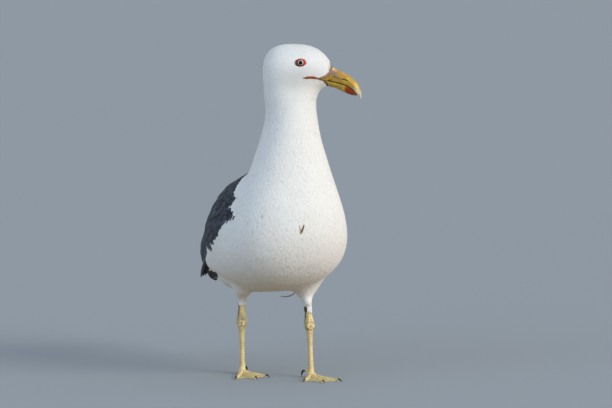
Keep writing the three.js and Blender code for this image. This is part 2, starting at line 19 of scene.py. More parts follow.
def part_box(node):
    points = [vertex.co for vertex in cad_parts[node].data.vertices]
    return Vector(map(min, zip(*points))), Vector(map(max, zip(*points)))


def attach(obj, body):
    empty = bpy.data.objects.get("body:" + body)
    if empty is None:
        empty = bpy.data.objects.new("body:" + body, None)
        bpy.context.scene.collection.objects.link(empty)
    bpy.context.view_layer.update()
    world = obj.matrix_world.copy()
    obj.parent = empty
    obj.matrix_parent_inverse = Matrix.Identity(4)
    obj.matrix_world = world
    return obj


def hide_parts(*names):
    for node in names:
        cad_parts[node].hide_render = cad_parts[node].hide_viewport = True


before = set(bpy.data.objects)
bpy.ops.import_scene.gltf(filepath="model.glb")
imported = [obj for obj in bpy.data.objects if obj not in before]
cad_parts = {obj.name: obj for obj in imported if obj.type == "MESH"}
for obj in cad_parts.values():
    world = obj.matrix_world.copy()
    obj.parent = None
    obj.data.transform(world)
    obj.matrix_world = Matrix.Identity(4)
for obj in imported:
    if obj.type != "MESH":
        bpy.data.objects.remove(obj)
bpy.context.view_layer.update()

LOG = logging.getLogger("kelp_gull")
MM = 0.001
MIDDLE = -0.93  # where the bird's middle plane cuts X
PALEST = 0.88  # the most that a white feather gives back
Array = np.ndarray
Polygon = tuple[int, ...]
Colour = tuple[float, float, float]


class Side(Enum):
    """A side of the bird, with its sign along X."""

    RIGHT = -1
    LEFT = 1

    @property
    def word(self) -> str:
        """The side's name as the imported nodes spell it."""
        return self.name.lower()


class Plume(Enum):
    """The colours that a feather is made in."""

    WHITE = (0.84, 0.84, 0.83)
    SLATE = (0.022, 0.026, 0.034)
    BLACK = (0.010, 0.010, 0.011)


# ---- small tools
def deselect() -> None:
    """Leave nothing selected."""
    for thing in bpy.context.selected_objects:
        thing.select_set(False)


def take(thing: bpy.types.Object) -> bpy.types.Object:
    """Make one object the only selected and the active one."""
    deselect()
    thing.select_set(True)
    bpy.context.view_layer.objects.active = thing
    return thing


def finish_with(thing: bpy.types.Object, kind: str, **settings: object) -> None:
    """Put a modifier on an object and apply it.

    Args:
        thing: The object.
        kind: The modifier's type.
        settings: The modifier's values by name.
    """
    take(thing)
    modifier = thing.modifiers.new(kind.title(), kind)
    for key, value in settings.items():
        setattr(modifier, key, value)
    bpy.ops.object.modifier_apply(modifier=modifier.name)


def smooth(thing: bpy.types.Object) -> None:
    """Shade every face of an object smooth."""
    thing.data.polygons.foreach_set("use_smooth", [True] * len(thing.data.polygons))


def units(rows: Array) -> Array:
    """Rows of vectors, each brought to length one."""
    return rows / np.maximum(np.linalg.norm(rows, axis=-1, keepdims=True), 1e-12)


def ease(low: float, high: float, value: Array) -> Array:
    """A soft step from 0 at low to 1 at high."""
    share = np.clip((value - low) / (high - low), 0, 1)
    return share * share * (3 - 2 * share)


def curve(rows: Sequence[Sequence[float]], steps: int) -> Array:
    """Points on a smooth curve through rows of numbers.

    Args:
        rows: The rows that the curve passes through.
        steps: How many points to return.

    Returns:
        An array of steps rows.
    """
    knots = np.array(rows, float)
    knots = np.vstack([2 * knots[0] - knots[1], knots, 2 * knots[-1] - knots[-2]])
    place = np.linspace(0, len(rows) - 1, steps)
    start = np.minimum(place.astype(int), len(rows) - 2)
    t = (place - start)[:, None]
    a, b, c, d = (knots[start + k] for k in range(4))
    return 0.5 * (2 * b + (c - a) * t + (2 * a - 5 * b + 4 * c - d) * t**2
                  + (3 * b - a - 3 * c + d) * t**3)


def read(rows: bpy.types.bpy_prop_collection, name: str, wide: int, kind: type = float) -> Array:
    """One property of all the rows of a collection.

    Args:
        rows: The collection, such as a mesh's vertices.
        name: The property's name.
        wide: How many numbers it has.
        kind: The numbers' type.

    Returns:
        A row of numbers for each.
    """
    flat = np.empty(len(rows) * wide, kind)
    rows.foreach_get(name, flat)
    return flat.reshape(-1, wide)


def coordinates(mesh: bpy.types.Mesh) -> Array:
    """The places of a mesh's vertices, in metres."""
    return read(mesh.vertices, "co", 3)


def set_coordinates(mesh: bpy.types.Mesh, places: Array) -> None:
    """Move a mesh's vertices to new places."""
    mesh.vertices.foreach_set("co", places.ravel())
    mesh.update()


def normals_of(mesh: bpy.types.Mesh) -> Array:
    """The normals of a mesh's vertices."""
    return read(mesh.vertex_normals, "vector", 3)


def paint(mesh: bpy.types.Mesh, name: str, colours: Array) -> None:
    """Keep a colour, or three numbers, for each vertex of a mesh.

    Args:
        mesh: The mesh.
        name: The attribute's name.
        colours: One row of three for each vertex.
    """
    layer = mesh.color_attributes.new(name=name, type="FLOAT_COLOR", domain="POINT")
    rows = np.ones((len(mesh.vertices), 4), np.float32)
    rows[:, :3] = colours
    layer.data.foreach_set("color", rows.ravel())


def joined(name: str, points: Array, faces: Sequence[Polygon],
           layers: dict[str, Array] | None = None, colours: Array | None = None,
           leans: Array | None = None, tops: int = 0) -> bpy.types.Object:
    """One mesh of many copies of a shape, each at its own place.

    Args:
        name: The piece's name.
        points: Places in metres, (copies, vertices, 3).
        faces: The shape's faces.
        layers: UV maps by name, each (copies, vertices, 2).
        colours: Plume colours, (copies, vertices, 3).
        leans: Directions that the shading follows on the top faces, (copies, vertices, 3).
        tops: How many of the shape's first faces are its top.

    Returns:
        The new object.
    """
    copies, size = points.shape[:2]
    corners = np.concatenate([np.array(face) for face in faces])
    starts = np.cumsum([0] + [len(face) for face in faces[:-1]])
    every = (corners[None] + size * np.arange(copies)[:, None]).ravel()
    mesh = bpy.data.meshes.new(name)
    mesh.vertices.add(copies * size)
    mesh.vertices.foreach_set("co", points.ravel())
    mesh.loops.add(len(every))
    mesh.loops.foreach_set("vertex_index", every)
    mesh.polygons.add(copies * len(faces))
    mesh.polygons.foreach_set(
        "loop_start", (starts[None] + len(corners) * np.arange(copies)[:, None]).ravel())
    mesh.polygons.foreach_set("use_smooth", [True] * (copies * len(faces)))
    mesh.update(calc_edges=True)
    for layer, spots in (layers or {}).items():
        mesh.uv_layers.new(name=layer).data.foreach_set("uv", spots.reshape(-1, 2)[every].ravel())
    if colours is not None:
        paint(mesh, "plume", colours.reshape(-1, 3))
    if leans is not None:
        ways = leans.reshape(-1, 3)[every].reshape(copies, -1, 3)
        ways[:, sum(len(face) for face in faces[:tops]):] *= -1
        mesh.normals_split_custom_set(ways.reshape(-1, 3))
    thing = bpy.data.objects.new(name, mesh)
    bpy.context.scene.collection.objects.link(thing)
    return thing


def loft(name: str, rings: Array, capped: bool = True) -> bpy.types.Object:
    """A closed skin over a row of rings.

    Args:
        name: The piece's name.
        rings: Places in metres, (rings, points, 3), each ring counter-clockwise seen from its end.
        capped: Whether the first and last rings get a cap, or the last joins the first.

    Returns:
        The new object, its faces outward.
    """
    count, around = rings.shape[:2]
    faces: list[Polygon] = []
    for i in range(count - 1 if capped else count):
        here, there = i * around, (i + 1) % count * around
        for k in range(around):
            beside = (k + 1) % around
            faces.append((here + k, here + beside, there + beside, there + k))
    if capped:
        faces.append(tuple(reversed(range(around))))
        faces.append(tuple(range((count - 1) * around, count * around)))
    thing = joined(name, rings.reshape(1, -1, 3), faces)
    mend = bmesh.new()
    mend.from_mesh(thing.data)
    bmesh.ops.remove_doubles(mend, verts=mend.verts, dist=1e-6)
    bmesh.ops.recalc_face_normals(mend, faces=mend.faces)
    mend.to_mesh(thing.data)
    mend.free()
    smooth(thing)
    return thing


def merged_copy(name: str, nodes: Sequence[str]) -> bpy.types.Object:
    """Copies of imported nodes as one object, each node's loose triangles merged.

    Args:
        name: The new object's name.
        nodes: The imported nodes.

    Returns:
        The new object.
    """
    whole = bmesh.new()
    for node in nodes:
        part = bmesh.new()
        part.from_mesh(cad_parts[node].data)
        bmesh.ops.remove_doubles(part, verts=part.verts, dist=2e-5)
        carrier = bpy.data.meshes.new("carrier")
        part.to_mesh(carrier)
        part.free()
        whole.from_mesh(carrier)
        bpy.data.meshes.remove(carrier)
    mesh = bpy.data.meshes.new(name)
    whole.to_mesh(mesh)
    whole.free()
    thing = bpy.data.objects.new(name, mesh)
    bpy.context.scene.collection.objects.link(thing)
    return thing


def grow(thing: bpy.types.Object, distance: float) -> None:
    """Move an object's surface out along its normals, by millimetres."""
    set_coordinates(thing.data,
                    coordinates(thing.data) + normals_of(thing.data) * distance * MM)


def settle(piece: bpy.types.Object, finish: bpy.types.Material, slot: str,
           *replaced: str) -> bpy.types.Object:
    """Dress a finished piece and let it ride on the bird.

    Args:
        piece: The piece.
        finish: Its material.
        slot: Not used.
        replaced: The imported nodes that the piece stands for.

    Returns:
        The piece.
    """
    piece.data.materials.append(finish)
    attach(piece, "root")
    if replaced:
        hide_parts(*replaced)
    LOG.info("%s: %d faces", piece.name, len(piece.data.polygons))
    return piece


class Surface:
    """A closed surface that says where its nearest point is and where a ray meets it."""

    def __init__(self, thing: bpy.types.Object) -> None:
        """Read an object's mesh.

        Args:
            thing: The object, at the origin.
        """
        mesh = thing.data
        mesh.calc_loop_triangles()
        self.places = coordinates(mesh)
        self.normals = normals_of(mesh)
        self.triangles = read(mesh.loop_triangles, "vertices", 3, np.int32)
        self.corners = read(mesh.loop_triangles, "loops", 3, np.int32)
        self.tree = BVHTree.FromPolygons(self.places.tolist(), self.triangles.tolist())

    def shares(self, points: Array, found: Array) -> Array:
        """How much each corner of a triangle counts at points on it."""
        a, b, c = (self.places[self.triangles[found, k]] for k in range(3))
        ab, ac, ap = b - a, c - a, points - a
        d00, d01, d11 = (ab * ab).sum(1), (ab * ac).sum(1), (ac * ac).sum(1)
        d20, d21 = (ap * ab).sum(1), (ap * ac).sum(1)
        scale = np.maximum(d00 * d11 - d01 * d01, 1e-30)
        v, w = (d11 * d20 - d01 * d21) / scale, (d00 * d21 - d01 * d20) / scale
        return np.clip(np.stack([1 - v - w, v, w], 1), 0, 1)

    def smooth_normals(self, points: Array, found: Array) -> Array:
        """The smooth normals at points on triangles."""
        shares = self.shares(points, found)
        mixed = (self.normals[self.triangles[found]] * shares[:, :, None]).sum(1)
        return units(mixed)

    def nearest(self, points: Array) -> tuple[Array, Array]:
        """The nearest places on the surface, and the normals there."""
        hits = [self.tree.find_nearest(point) for point in points.tolist()]
        places = np.array([tuple(hit[0]) for hit in hits])
        return places, self.smooth_normals(places, np.array([hit[2] for hit in hits]))

    def cast(self, starts: Array, ways: Array) -> tuple[Array, Array]:
        """Where rays meet the surface, and the normals there.

        Args:
            starts: Where the rays start.
            ways: Their directions.

        Returns:
            Places and normals. A ray that misses gives the nearest place to its start.
        """
        places, found = [], []
        for start, way in zip(starts.tolist(), ways.tolist()):
            hit = self.tree.ray_cast(start, way)
            if hit[0] is None:
                hit = self.tree.find_nearest(start)
            places.append(tuple(hit[0]))
            found.append(hit[2])
        spots = np.array(places)
        return spots, self.smooth_normals(spots, np.array(found))


# ---- shader tools
class Wire:
    """One output of a node, which plain arithmetic can be done on."""

    def __init__(self, bench: "Bench", socket: bpy.types.NodeSocket) -> None:
        """Keep the output and the bench that its sums are made on."""
        self.bench = bench
        self.socket = socket

    def _sum(self, work: str, *parts: "Wire | float") -> "Wire":
        """A Math node on these parts."""
        return self.bench.node("ShaderNodeMath", {"operation": work}, dict(enumerate(parts)))

    def __add__(self, other: "Wire | float") -> "Wire":
        """This and the other added."""
        return self._sum("ADD", self, other)

    __radd__ = __add__

    def __sub__(self, other: "Wire | float") -> "Wire":
        """The other taken from this."""
        return self._sum("SUBTRACT", self, other)

    def __rsub__(self, other: float) -> "Wire":
        """This taken from the other."""
        return self._sum("SUBTRACT", other, self)

    def __mul__(self, other: "Wire | float") -> "Wire":
        """This times the other."""
        return self._sum("MULTIPLY", self, other)

    __rmul__ = __mul__

    def __truediv__(self, other: "Wire | float") -> "Wire":
        """This divided by the other."""
        return self._sum("DIVIDE", self, other)

    def __pow__(self, other: float) -> "Wire":
        """This to a power."""
        return self._sum("POWER", self, other)

    def __abs__(self) -> "Wire":
        """This without its sign."""
        return self._sum("ABSOLUTE", self)

    def least(self, other: "Wire | float") -> "Wire":
        """The lesser of this and the other."""
        return self._sum("MINIMUM", self, other)

    def most(self, other: "Wire | float") -> "Wire":
        """The greater of this and the other."""
        return self._sum("MAXIMUM", self, other)

    def sine(self) -> "Wire":
        """The sine of this."""
        return self._sum("SINE", self)

    def ramp(self, low: float, high: float) -> "Wire":
        """A soft step from 0 at low to 1 at high, which may be the lesser."""
        sockets = {"Value": self, "From Min": low, "From Max": high, "To Min": 0.0, "To Max": 1.0}
        return self.bench.node("ShaderNodeMapRange", {"interpolation_type": "SMOOTHSTEP"}, sockets)


class Bench:
    """The node tree of one material, with one way to add a node."""

    def __init__(self, owner: bpy.types.Material | bpy.types.World) -> None:
        """Clear the nodes of a material or a world."""
        owner.use_nodes = True
        self.owner = owner
        self.tree = owner.node_tree
        self.tree.nodes.clear()

    @classmethod
    def material(cls, name: str) -> "Bench":
        """Start a new material."""
        return cls(bpy.data.materials.new(name))

    def node(self, kind: str, settings: dict[str, object] | None = None,
             sockets: dict[int | str, object] | None = None, out: int | str = 0) -> Wire:
        """Add a node.

        Args:
            kind: The node's type.
            settings: What is set on the node itself, first.
            sockets: Values or wires by the input's number or name.
            out: The output that the wire starts from.

        Returns:
            The wire of that output.
        """
        made = self.tree.nodes.new(kind)
        for key, value in (settings or {}).items():
            setattr(made, key, value)
        for key, value in (sockets or {}).items():
            if isinstance(value, Wire):
                self.tree.links.new(value.socket, made.inputs[key])
            elif value is not None:
                made.inputs[key].default_value = value
        return Wire(self, made.outputs[out]) if len(made.outputs) else Wire(self, None)

    def place(self) -> Wire:
        """The Object coordinates, in metres."""
        return self.node("ShaderNodeTexCoord", out="Object")

    def kept(self, name: str) -> Wire:
        """The colour, or the three numbers, kept on the mesh under a name."""
        return self.node("ShaderNodeAttribute", {"attribute_name": name}, out="Color")

    def split(self, wire: Wire) -> tuple[Wire, Wire, Wire]:
        """The three numbers of a colour or vector."""
        return tuple(self.node("ShaderNodeSeparateXYZ", sockets={0: wire}, out=k) for k in range(3))

    def noise(self, scale: float, detail: float = 2.0, place: Wire | None = None,
              stretch: tuple[float, float, float] | None = None) -> Wire:
        """Cloudy noise.

        Args:
            scale: Clouds to the metre.
            detail: How fine it breaks up.
            place: The vector that it is read at, or the Object coordinates.
            stretch: How much more often it changes along each axis.

        Returns:
            A number from 0 to 1.
        """
        at = place or self.place()
        if stretch:
            at = self.node("ShaderNodeMapping", sockets={"Vector": at, "Scale": stretch})
        return self.node("ShaderNodeTexNoise",
                         sockets={"Vector": at, "Scale": scale, "Detail": detail})

    def mix(self, share: Wire | float, first: "Wire | Colour", second: "Wire | Colour",
            blend: str = "MIX") -> Wire:
        """Two colours mixed."""
        def full(value: "Wire | Colour") -> "Wire | tuple":
            """A colour with its fourth number."""
            return value if isinstance(value, Wire) else (*value, 1.0)
        return self.node("ShaderNodeMix", {"data_type": "RGBA", "blend_type": blend},
                         {0: share, 6: full(first), 7: full(second)}, out=2)

    def scaled(self, colour: Wire, by: Wire) -> Wire:
        """A colour made lighter or darker."""
        return self.node("ShaderNodeVectorMath", {"operation": "SCALE"}, {0: colour, "Scale": by})

    def bump(self, height: Wire, depth: float, strength: float = 1.0,
             under: Wire | None = None) -> Wire:
        """A bump from a height.

        Args:
            height: The height, from 0 to 1.
            depth: What a height of 1 stands for, in millimetres.
            strength: How much of it shows.
            under: A bump below it.

        Returns:
            The normal.
        """
        return self.node("ShaderNodeBump", sockets={
            "Strength": strength, "Distance": depth * MM, "Height": height, "Normal": under})

    def finish(self, **sockets: object) -> bpy.types.Material:
        """Put the one shader on and return the material.

        Args:
            sockets: The shader's inputs, with _ for a space.

        Returns:
            The material.
        """
        named = {key.replace("_", " "): value for key, value in sockets.items()}
        shader = self.node("ShaderNodeBsdfPrincipled", sockets=named)
        self.node("ShaderNodeOutputMaterial", sockets={"Surface": shader})
        return self.owner


@dataclass(frozen=True)
class PlumageFinish:
    """Feathers: the colour kept on the mesh, clouded, with barbs that run out from the shaft, and,
    where streak is set, long pale slate-blue marks of painted sheen on dark feathers.
    """

    name: str
    roughness: float = 0.82
    sheen: float = 0.12
    cloud: float = 0.05
    barb_pitch: float = 0.55
    barb_depth: float = 0.06
    vanes: bool = True
    # How much painted sheen the dark feathers carry, in long pale slate-blue stripes.
    streak: float = 0.0
    streak_tone: Colour = (0.105, 0.140, 0.200)

    def material(self) -> bpy.types.Material:
        """Make the material."""
        bench = Bench.material(self.name)
        clouds = bench.noise(55, 4)
        fine = bench.noise(900, 2)
        shade = 1 + (clouds - 0.5) * (2 * self.cloud) + (fine - 0.5) * self.cloud
        colour = bench.scaled(bench.kept("plume"), shade)
        if self.vanes:
            vane = bench.node("ShaderNodeUVMap", {"uv_map": "Vane"})
            across, along, _ = bench.split(vane)
            barbs = ((along + abs(across) * 0.8) * (2 * math.pi / self.barb_pitch)).sine()
            height = barbs * 0.35 + fine
            # Painted sheen: long pale slate-blue stripes over the dark feathers, darker between them.
            if self.streak:
                place = bench.node("ShaderNodeCombineXYZ", sockets={
                    0: across * 0.35, 1: along * 0.045, 2: bench.noise(28, 0) * 30})
                run = bench.node("ShaderNodeMapping", {"vector_type": "TEXTURE"}, {
                    "Vector": bench.place(), "Rotation": (math.radians(-30), 0.0, 0.0),
                    "Scale": (1.0, 9.0, 1.0)})
                sheen_streaks = (bench.noise(1.0, 3, place=place) * 0.35
                           + bench.noise(400, 2, place=run) * 0.65)
                dark = bench.split(colour)[0].ramp(0.35, 0.15)
                colour = bench.scaled(colour, (sheen_streaks.ramp(0.36, 0.60) - 1) * dark * 0.70 + 1.05)
                colour = bench.mix(sheen_streaks.ramp(0.45, 0.66) * self.streak * dark, colour,
                                   self.streak_tone)
        else:
            height = fine + bench.noise(260, 3)
        return bench.finish(Base_Color=colour, Roughness=(clouds - 0.5) * 0.1 + self.roughness,
                            Normal=bench.bump(height, self.barb_depth),
                            Sheen_Weight=self.sheen, Sheen_Roughness=0.6, Specular_IOR_Level=0.25)


# ---- studio
@dataclass
class Studio:
    """The camera, the lamps, the floor and the air behind."""

    aim: tuple[float, float, float] = (38.5, -85.1, 207.7)
    azimuth: float = -16.0
    elevation: float = 6.0
    distance: float = 12.0
    view_width: float = 0.7344
    film: float = 36.0
    floor_half: float = 400.0
    floor_seen: Colour = (0.34, 0.37, 0.40)
    floor_bounce: Colour = (0.31, 0.245, 0.165)
    sky: Colour = (0.83, 0.91, 1.0)
    sky_strength: float = 0.59
    lamps: tuple[tuple, ...] = (("soft_sun", (1.0, 0.945, 0.87), 2.4, (0.62, -0.77, 0.36), 34.0),
                                ("cool_fill", (0.46, 0.72, 1.0), 1.15, (-0.86, -0.50, 0.22), 60.0))

    def camera(self) -> None:
        """Place the camera."""
        turn, lift = math.radians(self.azimuth), math.radians(self.elevation)
        back = Vector((math.sin(turn) * math.cos(lift), -math.cos(turn) * math.cos(lift),
                       math.sin(lift)))
        data = bpy.data.cameras.new("camera")
        data.sensor_width = self.film
        data.lens = self.film * self.distance / self.view_width
        data.clip_start, data.clip_end = 0.1, 3000.0
        seat = bpy.data.objects.new("camera", data)
        seat.location = Vector(self.aim) * MM + back * self.distance
        seat.rotation_euler = (-back).to_track_quat("-Z", "Y").to_euler()
        bpy.context.scene.collection.objects.link(seat)
        bpy.context.scene.camera = seat

    def seen_or_lit(self, bench: Bench) -> Wire:
        """1 where a thing is seen straight, mirrored or through glass, and 0 for its light."""
        path = "ShaderNodeLightPath"
        rays = [bench.node(path, out=f"Is {ray} Ray") for ray in ("Camera", "Glossy", "Transmission")]
        return rays[0].most(rays[1]).most(rays[2])

    def floor(self) -> None:
        """Lay the pale floor."""
        deselect()
        bpy.ops.mesh.primitive_grid_add(x_subdivisions=8, y_subdivisions=8, size=2 * self.floor_half)
        ground = bpy.context.object
        ground.name = "floor"
        bench = Bench.material("floor_pale")
        grain = bench.noise(1.2, 2) * 0.02 + 0.99
        shown = bench.scaled(bench.mix(self.seen_or_lit(bench), self.floor_bounce, self.floor_seen),
                             grain)
        ground.data.materials.append(bench.finish(Base_Color=shown, Roughness=0.9,
                                                  Specular_IOR_Level=0.1))

    def air(self) -> None:
        """Light the air and hang the lamps."""
        world = bpy.data.worlds.new("air")
        bpy.context.scene.world = world
        bench = Bench(world)
        colour = bench.mix(self.seen_or_lit(bench), self.sky, self.floor_seen)
        strength = self.seen_or_lit(bench) * (1 - self.sky_strength) + self.sky_strength
        light = bench.node("ShaderNodeBackground", sockets={"Color": colour, "Strength": strength})
        bench.node("ShaderNodeOutputWorld", sockets={"Surface": light})
        for name, colour, strength, way, spread in self.lamps:
            data = bpy.data.lights.new(name, "SUN")
            data.color, data.energy, data.angle = colour, strength, math.radians(spread)
            lamp = bpy.data.objects.new(name, data)
            lamp.rotation_euler = Vector(way).to_track_quat("Z", "Y").to_euler()
            bpy.context.scene.collection.objects.link(lamp)

    def build(self) -> None:
        """Set the whole studio up."""
        bpy.context.scene.view_settings.view_transform = "Standard"
        self.camera()
        self.floor()
        self.air()


# ---- the head's own frame
class HeadFrame:
    """Places on the head: forward along the bill, side to the bird's left, height over the eyes."""

    clear_of_head = 70.0
    cheek = 14.0

    def __init__(self) -> None:
        """Find the frame from the two packed eyes."""
        left, right = (sum(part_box(f"eye_{side}"), Vector()) / 2 for side in ("left", "right"))
        self.middle = np.array((left + right) / 2)
        self.aside = units(np.array(left - right))
        self.up = np.array((0.0, 0.0, 1.0))
        forward = np.cross(self.up, self.aside)
        self.forward = forward * np.sign(forward[0])
        self.axes = np.stack([self.forward, self.aside, self.up])

    def spots(self, rows: Array) -> Array:
        """Row-frame metres from forward, side and height in millimetres."""
        return self.middle + np.asarray(rows, float) * MM @ self.axes

    def ways(self, rows: Array) -> Array:
        """Row-frame directions from directions in the head's frame."""
        return np.asarray(rows, float) @ self.axes

    def measure(self, places: Array) -> Array:
        """Forward, side and height in millimetres of row-frame places in metres."""
        return (places - self.middle) @ self.axes.T / MM

    def aside_of(self, measures: Array) -> Array:
        """Which measured places are on a side of the head, where an eye may be."""
        return np.abs(measures[:, 1]) > self.cheek

    def inward(self, forward: Array, height: Array, side: Side) -> tuple[Array, Array]:
        """Level rays into the head from one side.

        Args:
            forward: Each ray's forward place, in millimetres.
            height: Its height.
            side: The side that it comes from.

        Returns:
            Starts in row-frame metres, and directions.
        """
        beside = np.full(len(forward), self.clear_of_head * side.value)
        starts = self.spots(np.column_stack([forward, beside, height]))
        return starts, self.ways(np.tile((0, -side.value, 0), (len(forward), 1)))


def inside_outline(spots: Array, outline: Sequence[tuple[float, float]]) -> Array:
    """Which flat spots lie inside a closed outline.

    Args:
        spots: Rows of two numbers.
        outline: The outline's corners in order.

    Returns:
        One truth for each spot.
    """
    result = np.zeros(len(spots), bool)
    x, y = spots[:, 0], spots[:, 1]
    corners = list(outline)
    for (x0, y0), (x1, y1) in zip(corners, corners[1:] + corners[:1]):
        if y0 != y1:
            cross = x0 + (y - y0) * (x1 - x0) / (y1 - y0)
            result ^= ((y0 > y) != (y1 > y)) & (x < cross)
    return result


@dataclass
class Face:
    """Where the head is bare: the eye's opening, the gape and the horn behind the bill."""

    ring_long: float = 6.5
    ring_high: float = 4.6
    opening_long: float = 3.5
    opening_high: float = 3.15
    corner_pull: float = 0.30
    horn_upper: tuple = ((21.4, -18.3), (26, -17.0), (30, -15.0), (33.5, -11.5), (35.5, -6.5))
    mouth: tuple = ((3.6, -18.5), (8.5, -17.9), (13.5, -17.7), (17.5, -18.4), (21.4, -19.7),
                    (25.5, -21.4), (30, -22.7), (36, -23.7), (41, -25.0))
    horn_lower: tuple = ((26.6, -22.7), (29.5, -26.0), (32.2, -29.3), (36.5, -31.2))

    def ring_reach(self, angle: Array) -> Array:
        """The ring's outer reach from the pupil, at angles round it."""
        x = self.ring_long * np.cos(angle)
        y = self.ring_high * np.sin(angle) * (1 - self.corner_pull * np.cos(angle) ** 2)
        return np.hypot(x, y)

    def eye_share(self, measures: Array) -> Array:
        """Distance from the pupil as a share of the ring's outer reach that way."""
        f, h = measures[:, 0], measures[:, 2]
        return np.hypot(f, h) / self.ring_reach(np.arctan2(h, f))

    def bare(self, measures: Array, margin: float = 1.0) -> Array:
        """Which places on the head grow no feathers."""
        flat = measures[:, [0, 2]]
        aside = np.abs(measures[:, 1])
        eye = (self.eye_share(measures) < margin) & (aside > 12)
        upper = [*self.horn_upper, (60, -6), (60, -40), (36.5, -31.5)]
        lower = list(reversed(self.horn_lower))[1:]
        mouth = [(f, h - 0.5) for f, h in reversed(self.mouth[4:6])]
        horn = inside_outline(flat, upper + lower + mouth) & (flat[:, 0] > 20)
        line = np.array(self.mouth)
        gape_height = np.interp(flat[:, 0], line[:, 0], line[:, 1])
        half = 1.25 - 0.45 * ease(17, 23, flat[:, 0])
        gape = (np.abs(flat[:, 1] - gape_height) < half) & (flat[:, 0] > 4.0) & (flat[:, 0] < 31)
        return eye | (horn | gape) & (aside > 0.5)


# ---- skin
@dataclass
class Skin:
    """The one skin under the coat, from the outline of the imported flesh.

    The hollow is where the flank draws in above the thighs. The brow is set back a little where
    the forehead meets the bill.
    """

    head: HeadFrame
    face: Face
    voxel: float = 1.25
    guide_voxel: float = 1.8
    overlap: float = 0.4
    depth: float = 1.35
    head_depth: float = 0.75
    softening: int = 520
    hollow_at: tuple[float, float, float] = (48.0, 12.0, 114.0)
    hollow_reach: tuple[float, float, float] = (20.0, 48.0, 9.5)
    hollow_depth: float = 7.0
    brow_back: float = 3.2
    socket_share: float = 0.72
    socket_floor: float = 16.5
    socket_blend: tuple[float, float, float] = (7.5, 9.0, 11.5)
    thinned: float = 0.58
    bare_tone: Colour = (0.30, 0.16, 0.10)
    flesh: tuple[str, ...] = ("trunk", "neck", "head", "mantle", "wing_right", "wing_left",
                              "thigh_right", "thigh_left")
    blades: tuple[str, ...] = ("primaries_right", "primaries_left")

    def hull(self, name: str, nodes: Sequence[str], voxel: float) -> bpy.types.Object:
        """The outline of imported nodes, their gaps closed, as one smooth closed mesh."""
        thing = merged_copy(name, nodes)
        grow(thing, self.overlap)
        finish_with(thing, "REMESH", mode="VOXEL", voxel_size=voxel * MM)
        finish_with(thing, "SMOOTH", factor=0.5, iterations=5)
        grow(thing, -self.overlap)
        smooth(thing)
        return thing

    def relax(self, thing: bpy.types.Object) -> None:
        """Take the facets out of the body, and keep its bulk, the head and the thighs' ends."""
        first = coordinates(thing.data)
        finish_with(thing, "SMOOTH", factor=0.5, iterations=self.softening)
        second = coordinates(thing.data)
        finish_with(thing, "SMOOTH", factor=0.5, iterations=self.softening)
        softened = 2 * second - coordinates(thing.data)
        measures = self.head.measure(first)
        share = np.maximum(ease(30, 52, np.linalg.norm(measures - (10, 0, -8), axis=1)),
                           0.6 * ease(8, -8, measures[:, 0]))
        share = share * ease(90, 112, first[:, 2] / MM)
        places = first + (softened - first) * share[:, None]
        brow = self.brow_back * ease(33, 38, measures[:, 0]) * ease(6.0, -3.0, measures[:, 2])
        brow = brow * ease(-22, -12, measures[:, 2])
        ahead = self.head.ways(np.array([(1.0, 0.0, 0.0)]))[0]
        set_coordinates(thing.data, places - ahead * brow[:, None] * MM)

    def close_sockets(self, thing: bpy.types.Object) -> None:
        """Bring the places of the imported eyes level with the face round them."""
        measures = self.head.measure(coordinates(thing.data))
        f, h = measures[:, 0], measures[:, 2]
        away = np.hypot(f, h)
        full, rim, round_eye = self.socket_blend
        terms = np.column_stack([np.ones_like(f), f, h, f * f, f * h, h * h])
        for side in Side:
            out = measures[:, 1] * side.value
            near = (away > 8.0) & (away < round_eye) & (out > self.head.cheek)
            fit = np.linalg.lstsq(terms[near], out[near], rcond=None)[0]
            inside = (away < rim) & (out > self.head.cheek)
            blend = ease(rim, full, away[inside])
            level = out[inside] + (terms[inside] @ fit - out[inside]) * blend
            measures[inside, 1] = side.value * level
        set_coordinates(thing.data, self.head.spots(measures))

    def build(self) -> None:
        """Make the guide over which large feathers lie, and the skin itself."""
        guide = self.hull("guide", self.flesh + self.blades, self.guide_voxel)
        self.guide = Surface(guide)
        bpy.data.objects.remove(guide)
        self.piece = self.hull("skin", self.flesh + ("eye_right", "eye_left"), self.voxel)
        self.relax(self.piece)
        self.close_sockets(self.piece)
        self.outline = Surface(self.piece)
        places = self.outline.places
        measures = self.head.measure(places)
        depth = self.coat_depth(measures)
        beside = self.head.aside_of(measures)
        depth = depth + 0.5 * beside * (1 - ease(0.75, 0.95, self.face.eye_share(measures)))
        from_middle = np.abs(places / MM - (MIDDLE, 0, 0))
        away = np.linalg.norm((from_middle - self.hollow_at) / self.hollow_reach, axis=1)
        depth = depth + self.hollow_depth * np.exp(-away**2)
        places = places - self.outline.normals * depth[:, None] * MM
        measures = self.head.measure(places)
        socket = (self.face.eye_share(measures) < self.socket_share) & self.head.aside_of(measures)
        measures[socket, 1] = np.sign(measures[socket, 1]) * self.socket_floor
        places[socket] = self.head.spots(measures[socket])
        set_coordinates(self.piece.data, places)
        self.unwrap()
        self.surface = Surface(self.piece)
        self.tracts = Tracts()
        # Painted shade: the skin is coloured a tenth darker than the coat, for the shade between the
        # feathers over it.
        tones = self.tracts.colours(self.surface.places) * 0.9
        bare = self.face.bare(self.head.measure(self.surface.places), self.socket_share)
        tones[bare] = self.bare_tone
        paint(self.piece.data, "plume", tones)
        down = PlumageFinish("down_and_skin", 0.9, 0.1, 0.06, barb_depth=0.15, vanes=False)
        settle(self.piece, down.material(), "white_plumage", *self.flesh)

    def coat_depth(self, measures: Array) -> Array:
        """How deep the coat is, in millimetres, at places given in the head's measures."""
        near_head = ease(-75, -30, measures[:, 2]) * (np.abs(measures[:, 1]) < 45)
        return self.depth + (self.head_depth - self.depth) * near_head

    def thin(self) -> None:
        """Lighten the skin's mesh, its shape kept, once all that grows on it is there."""
        finish_with(self.piece, "DECIMATE", ratio=self.thinned)
        self.unwrap()
        LOG.info("%s: %d faces when thinned", self.piece.name, len(self.piece.data.polygons))

